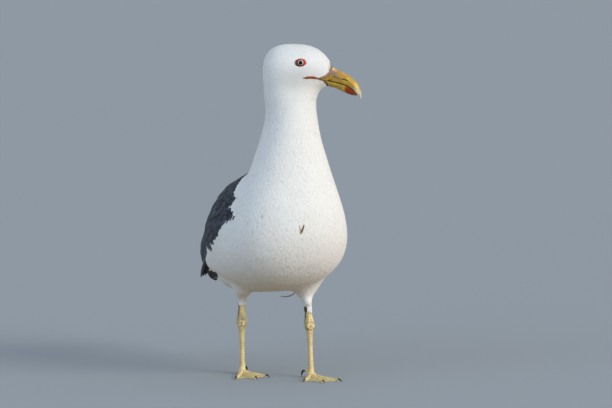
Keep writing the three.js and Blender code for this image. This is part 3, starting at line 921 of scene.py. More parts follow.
    def unwrap(self) -> None:
        """Unwrap the skin by its own shape."""
        mesh = self.piece.data
        while mesh.uv_layers:
            mesh.uv_layers.remove(mesh.uv_layers[0])
        mesh.uv_layers.new(name="OFBake")
        take(self.piece)
        bpy.ops.object.mode_set(mode="EDIT")
        bpy.ops.mesh.select_all(action="SELECT")
        bpy.ops.uv.smart_project(angle_limit=math.radians(66), island_margin=0.002)
        bpy.ops.object.mode_set(mode="OBJECT")
        self.unwrapped = read(mesh.uv_layers["OFBake"].data, "uv", 2)


class Tracts:
    """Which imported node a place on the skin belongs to, and so its plume colour."""

    names = ("head", "neck", "trunk", "thigh_right", "thigh_left", "mantle", "wing_right",
             "wing_left")
    whites = 5
    # A root's height, and how much further than their node the dark feathers reach there.
    border = ((118, 2.5), (146, 0.5), (153, -0.1), (158, 0.5), (163, 0.3), (167, 0.1), (171, 0.2),
              (176, 0.4), (181, 0.9), (188, 0.2), (193, 1.5), (198, 4.0), (203, 11.5), (207, 20.0),
              (213, 16.0), (217, 4.0), (222, 11.0), (226, 12.0), (231, 5.5), (245, 0.5))

    def __init__(self) -> None:
        """Gather the white and the dark nodes' faces."""
        self.head = HeadFrame()
        self.parts = [self.gather(0, self.whites), self.gather(self.whites, len(self.names))]

    def gather(self, first: int, last: int) -> tuple[BVHTree, Array]:
        """The faces of some of the nodes, and the number of the node that each belongs to."""
        places: list[Vector] = []
        faces: list[Polygon] = []
        owner: list[int] = []
        for number in range(first, last):
            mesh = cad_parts[self.names[number]].data
            base = len(places)
            places += [vertex.co.copy() for vertex in mesh.vertices]
            faces += [tuple(base + i for i in polygon.vertices) for polygon in mesh.polygons]
            owner += [number] * len(mesh.polygons)
        return BVHTree.FromPolygons(places, faces), np.array(owner)

    def owners(self, points: Array) -> Array:
        """The number of the node that each point belongs to, the dark ones reaching further."""
        hits = [[tree.find_nearest(point) for point in points.tolist()] for tree, _ in self.parts]
        far = [np.array([hit[3] for hit in side]) / MM for side in hits]
        whose = [owner[[hit[2] for hit in side]] for side, (_, owner) in zip(hits, self.parts)]
        reach = np.interp(points[:, 2] / MM, *np.array(self.border).T)
        y, z = points[:, 1] / MM, points[:, 2] / MM
        rear = np.maximum(ease(45, 65, y), ease(-12, 0, y) * ease(136, 141, z))
        reach = reach + 4.0 * np.maximum(rear, ease(-36, -26, y) * ease(145, 149, z))
        return np.where(far[1] < far[0] + reach, whose[1], whose[0])

    def colours(self, points: Array, owners: Array | None = None) -> Array:
        """The plume colour at each point, with painted shade on the cheek and the crown."""
        numbers = self.owners(points) if owners is None else owners
        dark = numbers >= self.names.index("mantle")
        f, aside, h = self.head.measure(points).T
        # Painted shade: the white is greyed on the cheek below the eye and darkened on the crown, for
        # how the light falls on the head.
        cheek = np.exp(-(((f + 4) / 21) ** 2) - ((h + 19) / 13) ** 2) * ease(4, 12, np.abs(aside))
        crown = ease(1, 14, h) * (np.hypot(f, aside) < 60)
        white = np.array(Plume.WHITE.value) * (1 - 0.22 * cheek - 0.10 * crown)[:, None]
        return np.where(dark[:, None], Plume.SLATE.value, white)


# ---- the lie of the coat
@dataclass(frozen=True)
class Post:
    """The feathers at one place: which way they lie, how long and wide they are, how far apart."""

    at: tuple[float, float, float]
    way: tuple[float, float, float]
    length: float
    width: float
    gap: float


HEAD_POSTS = (
    Post((36, 0, -8), (-1, 0, 0.5), 2.6, 1.3, 0.95),
    Post((22, 0, 12), (-0.9, 0, 0.45), 4.0, 1.9, 1.25),
    Post((0, 0, 20), (-1, 0, 0.05), 5.0, 2.4, 1.5),
    Post((-24, 0, 6), (-0.5, 0, -0.85), 7.5, 3.4, 2.0),
    Post((24, 16, -8), (-1, 0.25, 0.05), 2.3, 1.2, 0.9),
    Post((9, 21, 3), (-1, 0.1, 0.12), 2.5, 1.3, 0.95),
    Post((-2, 23, 8), (-1, -0.1, 0.1), 3.2, 1.6, 1.1),
    Post((-11, 23, -1), (-1, 0, -0.15), 3.8, 1.9, 1.3),
    Post((10, 22, -13), (-1, 0.1, -0.12), 3.0, 1.6, 1.1),
    Post((-8, 25, -24), (-0.8, 0, -0.6), 6.0, 2.9, 1.8),
    Post((28, 10, -32), (-0.9, 0.1, -0.45), 2.8, 1.4, 1.05),
    Post((14, 8, -46), (-0.3, 0, -1), 5.5, 2.8, 1.7),
)
BODY_POSTS = (
    Post((20, -190, 312), (0, 0, -1), 8.5, 4.0, 2.3),
    Post((38, -160, 302), (0, 0.1, -1), 9.0, 4.2, 2.4),
    Post((12, -128, 310), (0, 0.05, -1), 9.5, 4.4, 2.4),
    Post((20, -126, 280), (0, 0.35, -1), 11.0, 5.0, 2.7),
    Post((18, -200, 235), (0, -0.1, -1), 12.0, 5.4, 2.8),
    Post((16, -200, 185), (0, 0.1, -1), 13.5, 6.0, 3.1),
    Post((52, -175, 190), (0.15, 0.35, -1), 13.5, 6.0, 3.1),
    Post((16, -180, 138), (0, 0.7, -0.75), 15.0, 6.2, 3.2),
    Post((45, -150, 125), (0.1, 0.75, -0.5), 15.0, 6.2, 3.2),
    Post((14, -100, 102), (0, 1, 0), 16.0, 6.6, 3.4),
    Post((60, -140, 235), (0.25, 0.7, -0.75), 12.5, 5.6, 3.0),
    Post((76, -105, 165), (0, 0.92, -0.4), 15.0, 6.6, 3.3),
    Post((62, -60, 120), (-0.05, 1, -0.1), 16.0, 6.8, 3.4),
    Post((52, 20, 125), (-0.1, 1, 0.02), 18.0, 7.4, 3.6),
    Post((14, -30, 98), (0, 1, 0.02), 18.0, 7.4, 3.6),
    Post((14, 60, 106), (0, 1, 0.2), 21.0, 8.4, 3.9),
    Post((8, 118, 124), (0, 1, -0.5), 24.0, 8.8, 4.0),
    Post((12, 92, 168), (0, 0.85, -0.55), 19.0, 8.0, 3.8),
    Post((8, 122, 148), (0, 0.8, -0.6), 23.0, 8.6, 4.0),
    Post((12, -95, 262), (0, 0.85, -0.4), 11.0, 6.4, 3.1),
    Post((14, -60, 245), (0, 1, -0.22), 13.0, 8.0, 3.8),
    Post((14, 0, 222), (0, 0.95, -0.3), 17.0, 10.5, 4.8),
    Post((14, 70, 185), (0, 0.85, -0.5), 20.0, 12.0, 5.6),
    Post((58, -112, 228), (0.2, 0.8, -0.55), 7.5, 5.6, 2.8),
    Post((78, -75, 185), (0.02, 0.95, -0.33), 9.5, 7.0, 3.4),
    Post((66, -20, 190), (-0.1, 0.95, -0.3), 12.5, 9.0, 4.3),
    Post((50, 60, 160), (-0.2, 0.95, -0.3), 17.0, 11.0, 5.2),
)
LEG_POSTS = (
    Post((43, -104, 108), (0, 0.15, -1), 8.5, 3.8, 2.1),
    Post((38, -104, 90), (0, 0.05, -1), 6.5, 2.9, 1.6),
    Post((-31, -56, 106), (0, 0.15, -1), 8.5, 3.8, 2.1),
    Post((-31, -50, 90), (0, 0.05, -1), 6.5, 2.9, 1.6),
)


class Lie:
    """The lie, length, width and spacing of feathers anywhere on the bird."""

    def __init__(self, head: HeadFrame) -> None:
        """Set up the posts.

        Args:
            head: The head's frame.
        """
        spots: list[Array] = []
        ways: list[Array] = []
        sizes: list[tuple[float, float, float]] = []
        for posts, whole in ((HEAD_POSTS, True), (BODY_POSTS, True), (LEG_POSTS, False)):
            for post in posts:
                for sign in ((1, -1) if whole else (1,)):
                    flip = np.array((1, sign, 1) if posts is HEAD_POSTS else (sign, 1, 1))
                    at, way = np.array(post.at) * flip, np.array(post.way) * flip
                    on_head = posts is HEAD_POSTS
                    spots.append(head.spots(at) if on_head else at * MM)
                    ways.append(head.ways(way) if on_head else way)
                    sizes.append((post.length, post.width, post.gap))
        self.spots, self.ways, self.sizes = np.array(spots), units(np.array(ways)), np.array(sizes)

    def at(self, points: Array) -> tuple[Array, Array]:
        """The lie and the sizes at points.

        Args:
            points: Places in metres.

        Returns:
            Directions, and rows of length, width and gap in millimetres.
        """
        away = np.linalg.norm(points[:, None] - self.spots[None], axis=2) / MM
        pull = 1 / (away + 2.0) ** 3.2
        pull /= pull.sum(1, keepdims=True)
        return units(pull @ self.ways), pull @ self.sizes


@dataclass(frozen=True)
class Cut:
    """How a kind of feather is cut: its grid, outline, ragged end and crown."""

    columns: int = 5
    rows: int = 4
    widest: float = 0.62
    blunt: float = 0.45
    rag: float = 0.07
    crown: float = 0.05
    lean: float = 0.20

    def tops(self) -> int:
        """How many faces the top has."""
        return (self.columns - 1) * self.rows

    def grid(self, seed: int = 5) -> tuple[Array, Array, Array]:
        """The shape's vertices.

        Args:
            seed: What the ragged end is drawn from.

        Returns:
            Across from -1 to 1, along from 0 to 1, and how far each stands above the rim.
        """
        draw = np.random.default_rng(seed)
        across, along, rise = [0.0], [0.0], [0.0]
        for row in range(1, self.rows + 1):
            share = row / self.rows
            full = min(1.0, (share / self.widest) ** 0.6)
            if share > self.widest:
                tail = (share - self.widest) / (1 - self.widest)
                full = (1 - (1 - self.blunt) * tail**2.2)
            for column in range(self.columns):
                u = 2 * column / (self.columns - 1) - 1
                t = share
                if row == self.rows:
                    tooth = self.rag * ((1 if column % 2 else -1) + draw.uniform(-0.4, 0.4))
                    t = 1 - (1 - self.blunt) * 0.34 * u * u + tooth
                across.append(u * full)
                along.append(t)
                rise.append((1 - u * u) * (1 - 0.75 * (row == self.rows)))
        return np.array(across), np.array(along), np.array(rise)

    def faces(self, flipped: bool = False) -> list[Polygon]:
        """The shape's faces, a crowned top and a flat under side, flipped for a mirrored shape."""
        wide = self.columns
        found: list[Polygon] = [(0, 2 + k, 1 + k) for k in range(wide - 1)]
        for row in range(self.rows - 1):
            base = 1 + row * wide
            found += [(base + k, base + k + 1, base + wide + k + 1, base + wide + k)
                      for k in range(wide - 1)]
        found.append((0, 1, wide))
        for row in range(self.rows - 2):
            base = 1 + row * wide
            found.append((base, base + wide, base + 2 * wide - 1, base + wide - 1))
        last = 1 + (self.rows - 1) * wide
        found.append((last - wide, *range(last, last + wide), last - 1))
        return [tuple(reversed(face)) for face in found] if flipped else found


# ---- the coat
@dataclass
class CoatPiece:
    """One joined piece of the coat: its cut, where it grows and how it is coloured."""

    name: str
    cut: Cut
    grows: Callable[[Array, Array], Array]
    slot: str = "white_plumage"


@dataclass
class Coat:
    """The small feathers that cover the bird."""

    skin: Skin
    lie: Lie
    tries: int = 520_000
    closeness: float = 0.80
    root_height: float = 0.05
    fill: float = 0.92
    swell: float = 0.55
    pressed: float = 0.42
    beside_eye: float = 0.45
    patch: float = 0.003
    seed: int = 11

    def sow(self) -> None:
        """Scatter the roots over the skin, each as far from the rest as the lie asks."""
        surface, draw = self.skin.surface, np.random.default_rng(self.seed)
        a, b, c = (surface.places[surface.triangles[:, k]] for k in range(3))
        area, middle = np.linalg.norm(np.cross(b - a, c - a), axis=1) / 2, (a + b + c) / 3
        _, sizes = self.lie.at(middle)
        weight = area / sizes[:, 2] ** 2
        found = draw.choice(len(area), self.tries, p=weight / weight.sum())
        s, t = draw.random((2, self.tries))
        over = s + t > 1
        s[over], t[over] = 1 - s[over], 1 - t[over]
        shares = np.stack([1 - s - t, s, t], 1)
        corners = surface.places[surface.triangles[found]]
        points = (corners * shares[:, :, None]).sum(1)
        gaps = sizes[found, 2] * self.closeness
        kept = self.spaced(points / MM, gaps)
        self.roots = points[kept]
        self.found = found[kept]
        spots = self.skin.unwrapped[surface.corners[self.found]]
        self.root_uv = (spots * shares[kept][:, :, None]).sum(1)
        self.normals = surface.smooth_normals(self.roots, self.found)
        self.owners = self.skin.tracts.owners(self.roots)
        self.measures = self.skin.head.measure(self.roots)
        LOG.info("roots: %d", len(self.roots))

    @staticmethod
    def spaced(points: Array, gaps: Array) -> Array:
        """Keep points in order, each only if none kept is nearer than its gap.

        Args:
            points: Places in millimetres.
            gaps: The least distance round each.

        Returns:
            The kept points' numbers.
        """
        step = 1.25
        bands = np.round(np.log(gaps) / math.log(step)).astype(int)
        grids: dict[int, dict[tuple[int, int, int], list[tuple[float, float, float]]]] = {
            band: {} for band in range(bands.min() - 1, bands.max() + 2)}
        around = [(i, j, k) for i in (0, -1, 1) for j in (0, -1, 1) for k in (0, -1, 1)]

        def crowded(spot: tuple[float, float, float], band: int, limit: float) -> bool:
            """Whether a kept point of one band is nearer to a spot than the root of a limit."""
            x, y, z = spot
            cell = step ** (band + 0.5)
            i, j, k = int(x // cell), int(y // cell), int(z // cell)
            cells = grids[band]
            for di, dj, dk in around:
                for px, py, pz in cells.get((i + di, j + dj, k + dk), ()):
                    if (px - x) ** 2 + (py - y) ** 2 + (pz - z) ** 2 < limit:
                        return True
            return False
        kept: list[int] = []
        rows = zip(points.tolist(), bands.tolist(), gaps.tolist())
        for number, (spot, band, gap) in enumerate(rows):
            if any(crowded(spot, near, gap * gap) for near in (band, band - 1, band + 1)):
                continue
            cell = step ** (band + 0.5)
            key = tuple(int(value // cell) for value in spot)
            grids[band].setdefault(key, []).append(tuple(spot))
            kept.append(number)
        return np.array(kept)

    def piece(self, plan: CoatPiece, material: bpy.types.Material) -> None:
        """Grow one piece of the coat.

        Args:
            plan: What it is.
            material: Its finish.
        """
        chosen = plan.grows(self.owners, self.measures)
        roots, normals = self.roots[chosen], self.normals[chosen]
        ways, sizes = self.lie.at(roots)
        draw = np.random.default_rng(len(plan.name) * 97 + self.seed)
        count = len(roots)
        ways = units(ways - normals * (ways * normals).sum(1, keepdims=True))
        sides = np.cross(ways, normals)
        turn = draw.normal(0, 0.10, count)[:, None]
        ways, sides = units(ways + sides * turn), units(sides - ways * turn)
        length = sizes[:, 0] * draw.uniform(0.85, 1.15, count)
        width = sizes[:, 1] * draw.uniform(0.88, 1.12, count)
        tips = roots + ways * length[:, None] * MM
        face, head = self.skin.face, self.skin.head
        free = ~face.bare(self.measures[chosen], 1.02)
        blocked = (face.eye_share(head.measure(tips)) < 1.0) & head.aside_of(head.measure(tips))
        length = np.where(blocked, length * self.beside_eye, length)
        across, along, rise = plan.cut.grid()
        flat = (roots[:, None] + ways[:, None] * (along[None, :, None] * length[:, None, None] * MM)
                + sides[:, None] * (across[None, :, None] * width[:, None, None] / 2 * MM))
        places, outward = self.skin.surface.nearest(flat[free].reshape(-1, 3))
        depth = self.skin.coat_depth(self.measures[chosen][free])
        lifted = np.minimum(along, 1.0) ** self.swell * (1 - self.pressed * (1 - rise) ** 2)
        height = (self.root_height + (depth * self.fill)[:, None] * lifted[None]
                  + rise[None] * plan.cut.crown * width[free][:, None] / 2)
        height *= draw.uniform(0.93, 1.04, (free.sum(), 1))
        bent = places + outward * height.reshape(-1, 1) * MM
        bent = bent.reshape(-1, len(across), 3)
        tint = self.skin.tracts.colours(roots[free], self.owners[chosen][free])
        colours = self.shaded(tint, across, along, draw)
        patch = self.root_uv[chosen][free][:, None] + self.patch * np.stack(
            [across / 2, along - 0.5], 1)[None]
        vane = np.stack([across[None] * width[free][:, None] / 2,
                         along[None] * length[free][:, None]], 2)
        lean = outward.reshape(bent.shape) + sides[free][:, None] * (
            across[None, :, None] * plan.cut.lean) + ways[free][:, None] * (
            ease(0.7, 1.1, along)[None, :, None] * plan.cut.lean)
        thing = joined(plan.name, bent, plan.cut.faces(), {"OFBake": patch, "Vane": vane}, colours,
                       units(lean), plan.cut.tops())
        settle(thing, material, plan.slot)

    @staticmethod
    def shaded(tint: Array, across: Array, along: Array, draw: np.random.Generator) -> Array:
        """Colours of feathers: each a little different, white ones darker at the base, rim and end
        with painted shade, dark ones edged paler.

        Args:
            tint: The plume colours.
            across: The shape's places across.
            along: The shape's places along.
            draw: What the differences are drawn from.

        Returns:
            Colours, (feathers, vertices, 3).
        """
        dark = (tint[:, 0] < 0.4)[:, None, None]
        each = draw.normal(0, 1, (len(tint), 1, 1))
        # Painted shade: white feathers darken towards the base, where the feathers above cover them.
        white = tint[:, None] * (0.95 + 0.05 * along[None, :, None]) * (1 + 0.012 * each)
        white = white * np.where(each > 2.9, np.array((0.97, 0.94, 0.90)), 1.0)
        rim, end = np.abs(across), np.clip(along, 0, 1)
        # Painted shade at the rim and the very end of each white feather.
        white = white * (1 - 0.05 * rim**4 - 0.04 * end**8)[None, :, None]
        edge = (0.55 * rim**3 + 0.6 * end**6)[None, :, None]
        pale = np.array((0.085, 0.105, 0.142))
        slate = tint[:, None] * (1 + 0.25 * each) * (1 - 0.6 * edge) + pale * 0.6 * edge
        return np.where(dark, slate, np.clip(white, 0, PALEST))

    def build(self, plain: bpy.types.Material, dark_finish: bpy.types.Material) -> None:
        """Grow the whole coat.

        Args:
            plain: The white plumage's material.
            dark_finish: The dark plumage's material.
        """
        self.sow()
        number = Tracts.names.index
        small, fine = Cut(columns=5, rows=3, rag=0.06), Cut(columns=3, rows=3, rag=0.05)
        broad = Cut(columns=5, rows=4, rag=0.05, blunt=0.55)

        def of(*names: str) -> Callable[[Array], Array]:
            """Whether roots belong to the named nodes."""
            return lambda owners: np.isin(owners, [number(name) for name in names])
        head, neck, trunk = of("head"), of("neck"), of("trunk")
        thighs, dark = of("thigh_right", "thigh_left"), of("mantle", "wing_right", "wing_left")
        y = self.roots[:, 1] / MM
        plans = (
            CoatPiece("coat_face", fine, lambda o, m: head(o) & (m[:, 0] > -6)),
            CoatPiece("coat_crown", small, lambda o, m: head(o) & (m[:, 0] <= -6)),
            CoatPiece("coat_neck", small, lambda o, m: neck(o)),
            CoatPiece("coat_breast", small, lambda o, m: trunk(o) & (y < -130)),
            CoatPiece("coat_belly", small, lambda o, m: trunk(o) & (y >= -130) & (y < -30)),
            CoatPiece("coat_vent", small, lambda o, m: trunk(o) & (y >= -30)),
            CoatPiece("coat_thighs", small, lambda o, m: thighs(o)),
            CoatPiece("coat_back_and_wings", broad, lambda o, m: dark(o), "slate_plumage"),
        )
        for plan in plans:
            self.piece(plan, dark_finish if plan.slot == "slate_plumage" else plain)


# ---- large feathers
@dataclass(frozen=True)
class Quill:
    """One large feather in its wing's own measures, in millimetres and shares of the arc."""

    start: float
    arc: float
    length: float
    width: float
    drop: float = 0.0
    root: float = -1.1
    tip: float = 0.2
    pale_end: float = 0.0


def ordered_patches(count: int, across: Array, along: Array) -> Array:
    """A UV map that gives each of a few large feathers a strip of its own.

    Args:
        count: How many feathers there are.
        across: The shape's places across.
        along: The shape's places along.

    Returns:
        Spots, (feathers, vertices, 2).
    """
    wide = math.ceil(math.sqrt(count * 4))
    tall = math.ceil(count / wide)
    number = np.arange(count)[:, None]
    u = (number % wide + 0.5 + across[None] * 0.44) / wide
    v = (number // wide + 0.04 + along[None] * 0.9) / tall
    return np.stack([u, v], 2)


def quill_colours(across: Array, along: Array, lengths: Array, pale_ends: Array, base: Plume,
                  seed: int) -> Array:
    """Colours of large feathers: paler towards the rim, with a white end where there is one.

    Args:
        across: The shape's places across.
        along: The shape's places along.
        lengths: Each feather's length.
        pale_ends: How much of each end is white, in millimetres.
        base: The colour of the rest.
        seed: What the differences are drawn from.

    Returns:
        Colours, (feathers, vertices, 3).
    """
    draw = np.random.default_rng(seed)
    each = 1 + 0.12 * draw.normal(0, 1, (len(lengths), 1, 1))
    rim = (0.6 * np.abs(across) ** 4)[None, :, None]
    pale = np.array((0.085, 0.105, 0.14)) if base is Plume.SLATE else np.array(base.value) * 1.6
    body = np.array(base.value) * each * (1 - rim) + pale * rim
    left = (1 - along[None]) * lengths[:, None] + 2.2 * across[None] ** 2
    pale_ends = pale_ends[:, None]
    white = ((1 - ease(-0.6, 0.6, left - pale_ends)) * (pale_ends > 0))[:, :, None]
    return body * (1 - white) + np.array(Plume.WHITE.value) * white


@dataclass
class FoldedWing:
    """The covert rows, secondaries, tertials and scapulars of one folded wing.

    Each station gives the back's and the belly's Y and Z, the half width, and the angles of the
    wing's lower and upper edge, from the tips of the tertials to the shoulder.
    """

    side: Side
    guide: Surface
    centre: float = MIDDLE
    widest: float = 0.46
    stations: tuple[tuple[float, ...], ...] = (
        (135.5, 141, 125.5, 110, 27, 0, 70), (119.5, 155, 105.5, 100, 36, -20, 80),
        (99.5, 170, 83.5, 96, 43.5, -27, 84), (69.5, 190, 48.5, 97, 50, -25, 84),
        (30.5, 211, 5.5, 100, 59.5, -19, 81), (-10.5, 230.5, -38.5, 103, 69.5, -14, 76),
        (-48.5, 245, -82.5, 102, 77.5, -12, 71), (-78.5, 253.5, -126.5, 107, 79.5, -4, 65),
        (-98.5, 258.5, -164.5, 124, 76.5, 7, 59), (-105.5, 263, -180.5, 139, 70.5, 24, 52))
    cut: Cut = Cut(columns=7, rows=12, widest=0.7, blunt=0.5, rag=0.012, crown=0.05, lean=0.2)
    wide_cut: Cut = Cut(columns=7, rows=16, widest=0.72, blunt=0.55, rag=0.01, crown=0.05, lean=0.2)

    def __post_init__(self) -> None:
        """Measure along the wing from the shoulder."""
        self.rows = np.array(self.stations[::-1])
        middle = (self.rows[:, 0:2] + self.rows[:, 2:4]) / 2
        steps = np.linalg.norm(np.diff(middle, axis=0), axis=1)
        self.run = np.concatenate([[0.0], np.cumsum(steps)])

    def place(self, along: Array, arc: Array) -> tuple[Array, Array]:
        """Places on the wing's outer surface.

        Args:
            along: Millimetres from the shoulder.
            arc: Shares of the arc from the lower edge, 0, to the upper edge, 1.

        Returns:
            Places in metres and normals.
        """
        row = np.stack([np.interp(along, self.run, column) for column in self.rows.T], 1)
        back, belly, half, low, high = row[:, 0:2], row[:, 2:4], row[:, 4], row[:, 5], row[:, 6]
        angle = np.radians(low + arc * (high - low))
        up = np.sin(angle) > 0
        share = np.where(up, 1 - self.widest, self.widest) * np.sin(angle)
        flat = belly + (back - belly) * self.widest
        reach = (back - belly) * share[:, None]
        spread = half * np.cos(angle) * self.side.value
        heart = np.column_stack([np.full(len(flat), self.centre), flat])
        out = np.column_stack([spread, reach])
        return self.guide.cast((heart + out * 1.7) * MM, units(-out))

    def lay(self, name: str, quills: Sequence[Quill], cut: Cut, base: Plume, slot: str) -> None:
        """Lay large feathers over the wing as one piece.

        Args:
            name: The piece's name.
            quills: The feathers.
            cut: How they are cut.
            base: Their colour.
            slot: The record's material slot.
        """
        across, along, rise = cut.grid(len(quills))
        table = np.array([(q.start, q.arc, q.length, q.width, q.drop, q.root, q.tip, q.pale_end)
                          for q in quills])
        start, arc, length, width, drop, low, high, pale = (table[:, k, None] for k in range(8))
        d = start + length * along[None]
        arc_mm = np.interp(d, self.run, np.radians(self.rows[:, 6] - self.rows[:, 5])
                           * (self.rows[:, 4] + 62) / 2)
        v = arc + drop * along[None] + across[None] * width / 2 / arc_mm
        flat, normal = self.place(d.ravel(), v.ravel())
        lift = low + (high - low) * along[None] ** 0.8 + rise[None] * cut.crown * width / 2
        lift = lift - 0.22 * across[None]
        ridge = 0.12 * (np.abs(across) < 0.02)[None]
        places = flat + normal * (lift + ridge).reshape(-1, 1) * MM
        shape = (len(quills), len(across), 3)
        places, normal = places.reshape(shape), normal.reshape(shape)
        ways = units(places[:, -1:] - places[:, :1])
        sides = np.cross(ways, normal) * -self.side.value
        vane = np.stack([across[None] * width / 2, along[None] * length], 2)
        lean = units(normal + sides * (across[None, :, None] * cut.lean))
        colours = quill_colours(across, along, length[:, 0], pale[:, 0], base, len(name))
        piece = joined(name, places, cut.faces(self.side is Side.LEFT),
                       {"OFBake": ordered_patches(len(quills), across, along), "Vane": vane},
                       colours, lean, cut.tops())
        settle(piece, self.finish, slot)

    def row(self, count: int, start: tuple[float, float], arc: tuple[float, float],
            **sizes: float) -> list[Quill]:
        """A row of like feathers, evenly spaced.

        Args:
            count: How many.
            start: Where the first and last start, in millimetres from the shoulder.
            arc: The arc shares of the first and last.
            sizes: The rest of their measures.

        Returns:
            The feathers, the rearmost first so that the front ones lie over them.
        """
        shares = np.linspace(0, 1, count)
        sizes.setdefault("tip", 0.3)
        return [Quill(start[0] + (start[1] - start[0]) * t, arc[0] + (arc[1] - arc[0]) * t,
                      tip=sizes["tip"] + 0.25 * math.sin(9 * t),
                      **{key: value for key, value in sizes.items() if key != "tip"})
                for t in shares]

    def build(self, finish: bpy.types.Material) -> None:
        """Lay the wing's rows from the lowest to the uppermost.

        Args:
            finish: The plumage material.
        """
        self.finish = finish
        word, slate, slot = self.side.word, Plume.SLATE, "slate_plumage"
        self.lay(f"secondaries_{word}", self.row(13, (92, 178), (0.10, 0.13), length=50, width=17,
                                                 drop=-0.045, tip=0.1, pale_end=3.2),
                 self.cut, slate, slot)
        self.lay(f"greater_coverts_{word}", self.row(12, (60, 160), (0.30, 0.34), length=46,
                                                     width=17, drop=-0.10, tip=0.5),
                 self.cut, slate, slot)
        self.lay(f"median_coverts_{word}",
                 self.row(14, (34, 150), (0.44, 0.50), length=30, width=15, drop=-0.07, tip=0.7)
                 + self.row(13, (26, 132), (0.57, 0.62), length=26, width=14, drop=-0.05, tip=0.8),
                 self.cut, slate, slot)
        tertials = [Quill(150 + 9 * k, 0.26 + 0.115 * k, 93 - 4.5 * k, 29, 0.02 + 0.03 * k,
                          -0.9 + 0.25 * k, 0.5 + 0.28 * k, 7.0) for k in range(5)]
        self.lay(f"tertials_{word}", tertials, self.wide_cut, slate, slot)
        scapulars = self.row(11, (116, 166), (0.60, 0.88), length=42, width=21, drop=-0.03,
                             root=-0.5, tip=1.0)
        scapulars += self.row(11, (70, 138), (0.70, 0.90), length=38, width=19, drop=-0.02,
                              root=-0.7, tip=1.1)
        scapulars += self.row(10, (36, 96), (0.72, 0.90), length=30, width=17, drop=-0.02,
                              root=-0.9, tip=0.9)
        self.lay(f"scapulars_{word}", scapulars, self.cut, slate, slot)


@dataclass
class Blade:
    """The folded primaries of one wing: long black feathers, stacked, with white tips.

    Each station gives the blade's centre, its chord and its roll in degrees.
    """

    side: Side
    rise: float = 0.0
    centre: float = MIDDLE
    stations: tuple[tuple[float, ...], ...] = (
        (-38.9, 53.5, 151, 26, 42), (-29.9, 91.5, 140, 27, 36), (-16.9, 129.5, 124.5, 28, 26),
        (-5.9, 163.5, 107.5, 24, 14), (2.1, 187.5, 93.5, 17, 8), (7.1, 200.5, 86, 8, 4))
    tips: tuple[float, ...] = (0.52, 0.64, 0.75, 0.85, 0.93, 1.0)
    pale_ends: tuple[float, ...] = (6.0, 6.0, 5.5, 5.0, 4.0, 2.5)
    mirror: tuple[float, float] = (0.84, 0.90)
    cut: Cut = Cut(columns=7, rows=30, widest=0.72, blunt=0.3, rag=0.004, crown=0.04, lean=0.15)

    def build(self, finish: bpy.types.Material) -> None:
        """Stack the feathers.

        Args:
            finish: The plumage material.
        """
        across, along, rise = self.cut.grid(3)
        line = curve(self.stations, 200)
        groups, widths, lengths = [], [], []
        total = float(np.linalg.norm(np.diff(line[:, :3], axis=0), axis=1).sum())
        for number, tip in enumerate(self.tips):
            share = np.clip(along * tip, 0, 1.02)
            x, y, z, chord, roll = (np.interp(share, np.linspace(0, 1, 200), column)
                                    for column in line.T)
            lift = self.rise * ease(0.25, 0.75, share)
            over = np.column_stack([np.cos(np.radians(roll)), 0 * roll, np.sin(np.radians(roll))])
            out = np.column_stack([-over[:, 2], 0 * roll, over[:, 0]])
            inner = (2.5 - number) / 2.5
            wide = 0.86 - 0.04 * number
            offset = chord / 2 * (inner * (1 - wide) + across * wide)
            height = inner + 0.25 * rise + 0.25 * (np.abs(across) < 0.02) + 0.2 * across
            heart = np.column_stack([x, y, z + lift])
            groups.append(heart + over * offset[:, None] + out * height[:, None])
            widths.append(across * chord / 2 * wide)
            lengths.append(total * tip)
        places = np.array(groups)
        leans = np.broadcast_to(out, places.shape).copy()
        if self.side is Side.LEFT:
            places[..., 0] = 2 * self.centre - places[..., 0]
            leans[..., 0] *= -1
        colours = quill_colours(across, along, np.array(lengths), np.array(self.pale_ends),
                                Plume.BLACK, 8)
        spot = (along > self.mirror[0]) & (along < self.mirror[1]) & (across > -0.5)
        colours[-1, spot] = Plume.WHITE.value
        vane = np.stack([np.array(widths), np.array(lengths)[:, None] * along[None]], 2)
        name = f"primary_feathers_{self.side.word}"
        piece = joined(name, places * MM, self.cut.faces(self.side is Side.LEFT),
                       {"OFBake": ordered_patches(len(groups), across, along), "Vane": vane},
                       colours, leans, self.cut.tops())
        settle(piece, finish, "black_plumage", f"primaries_{self.side.word}")


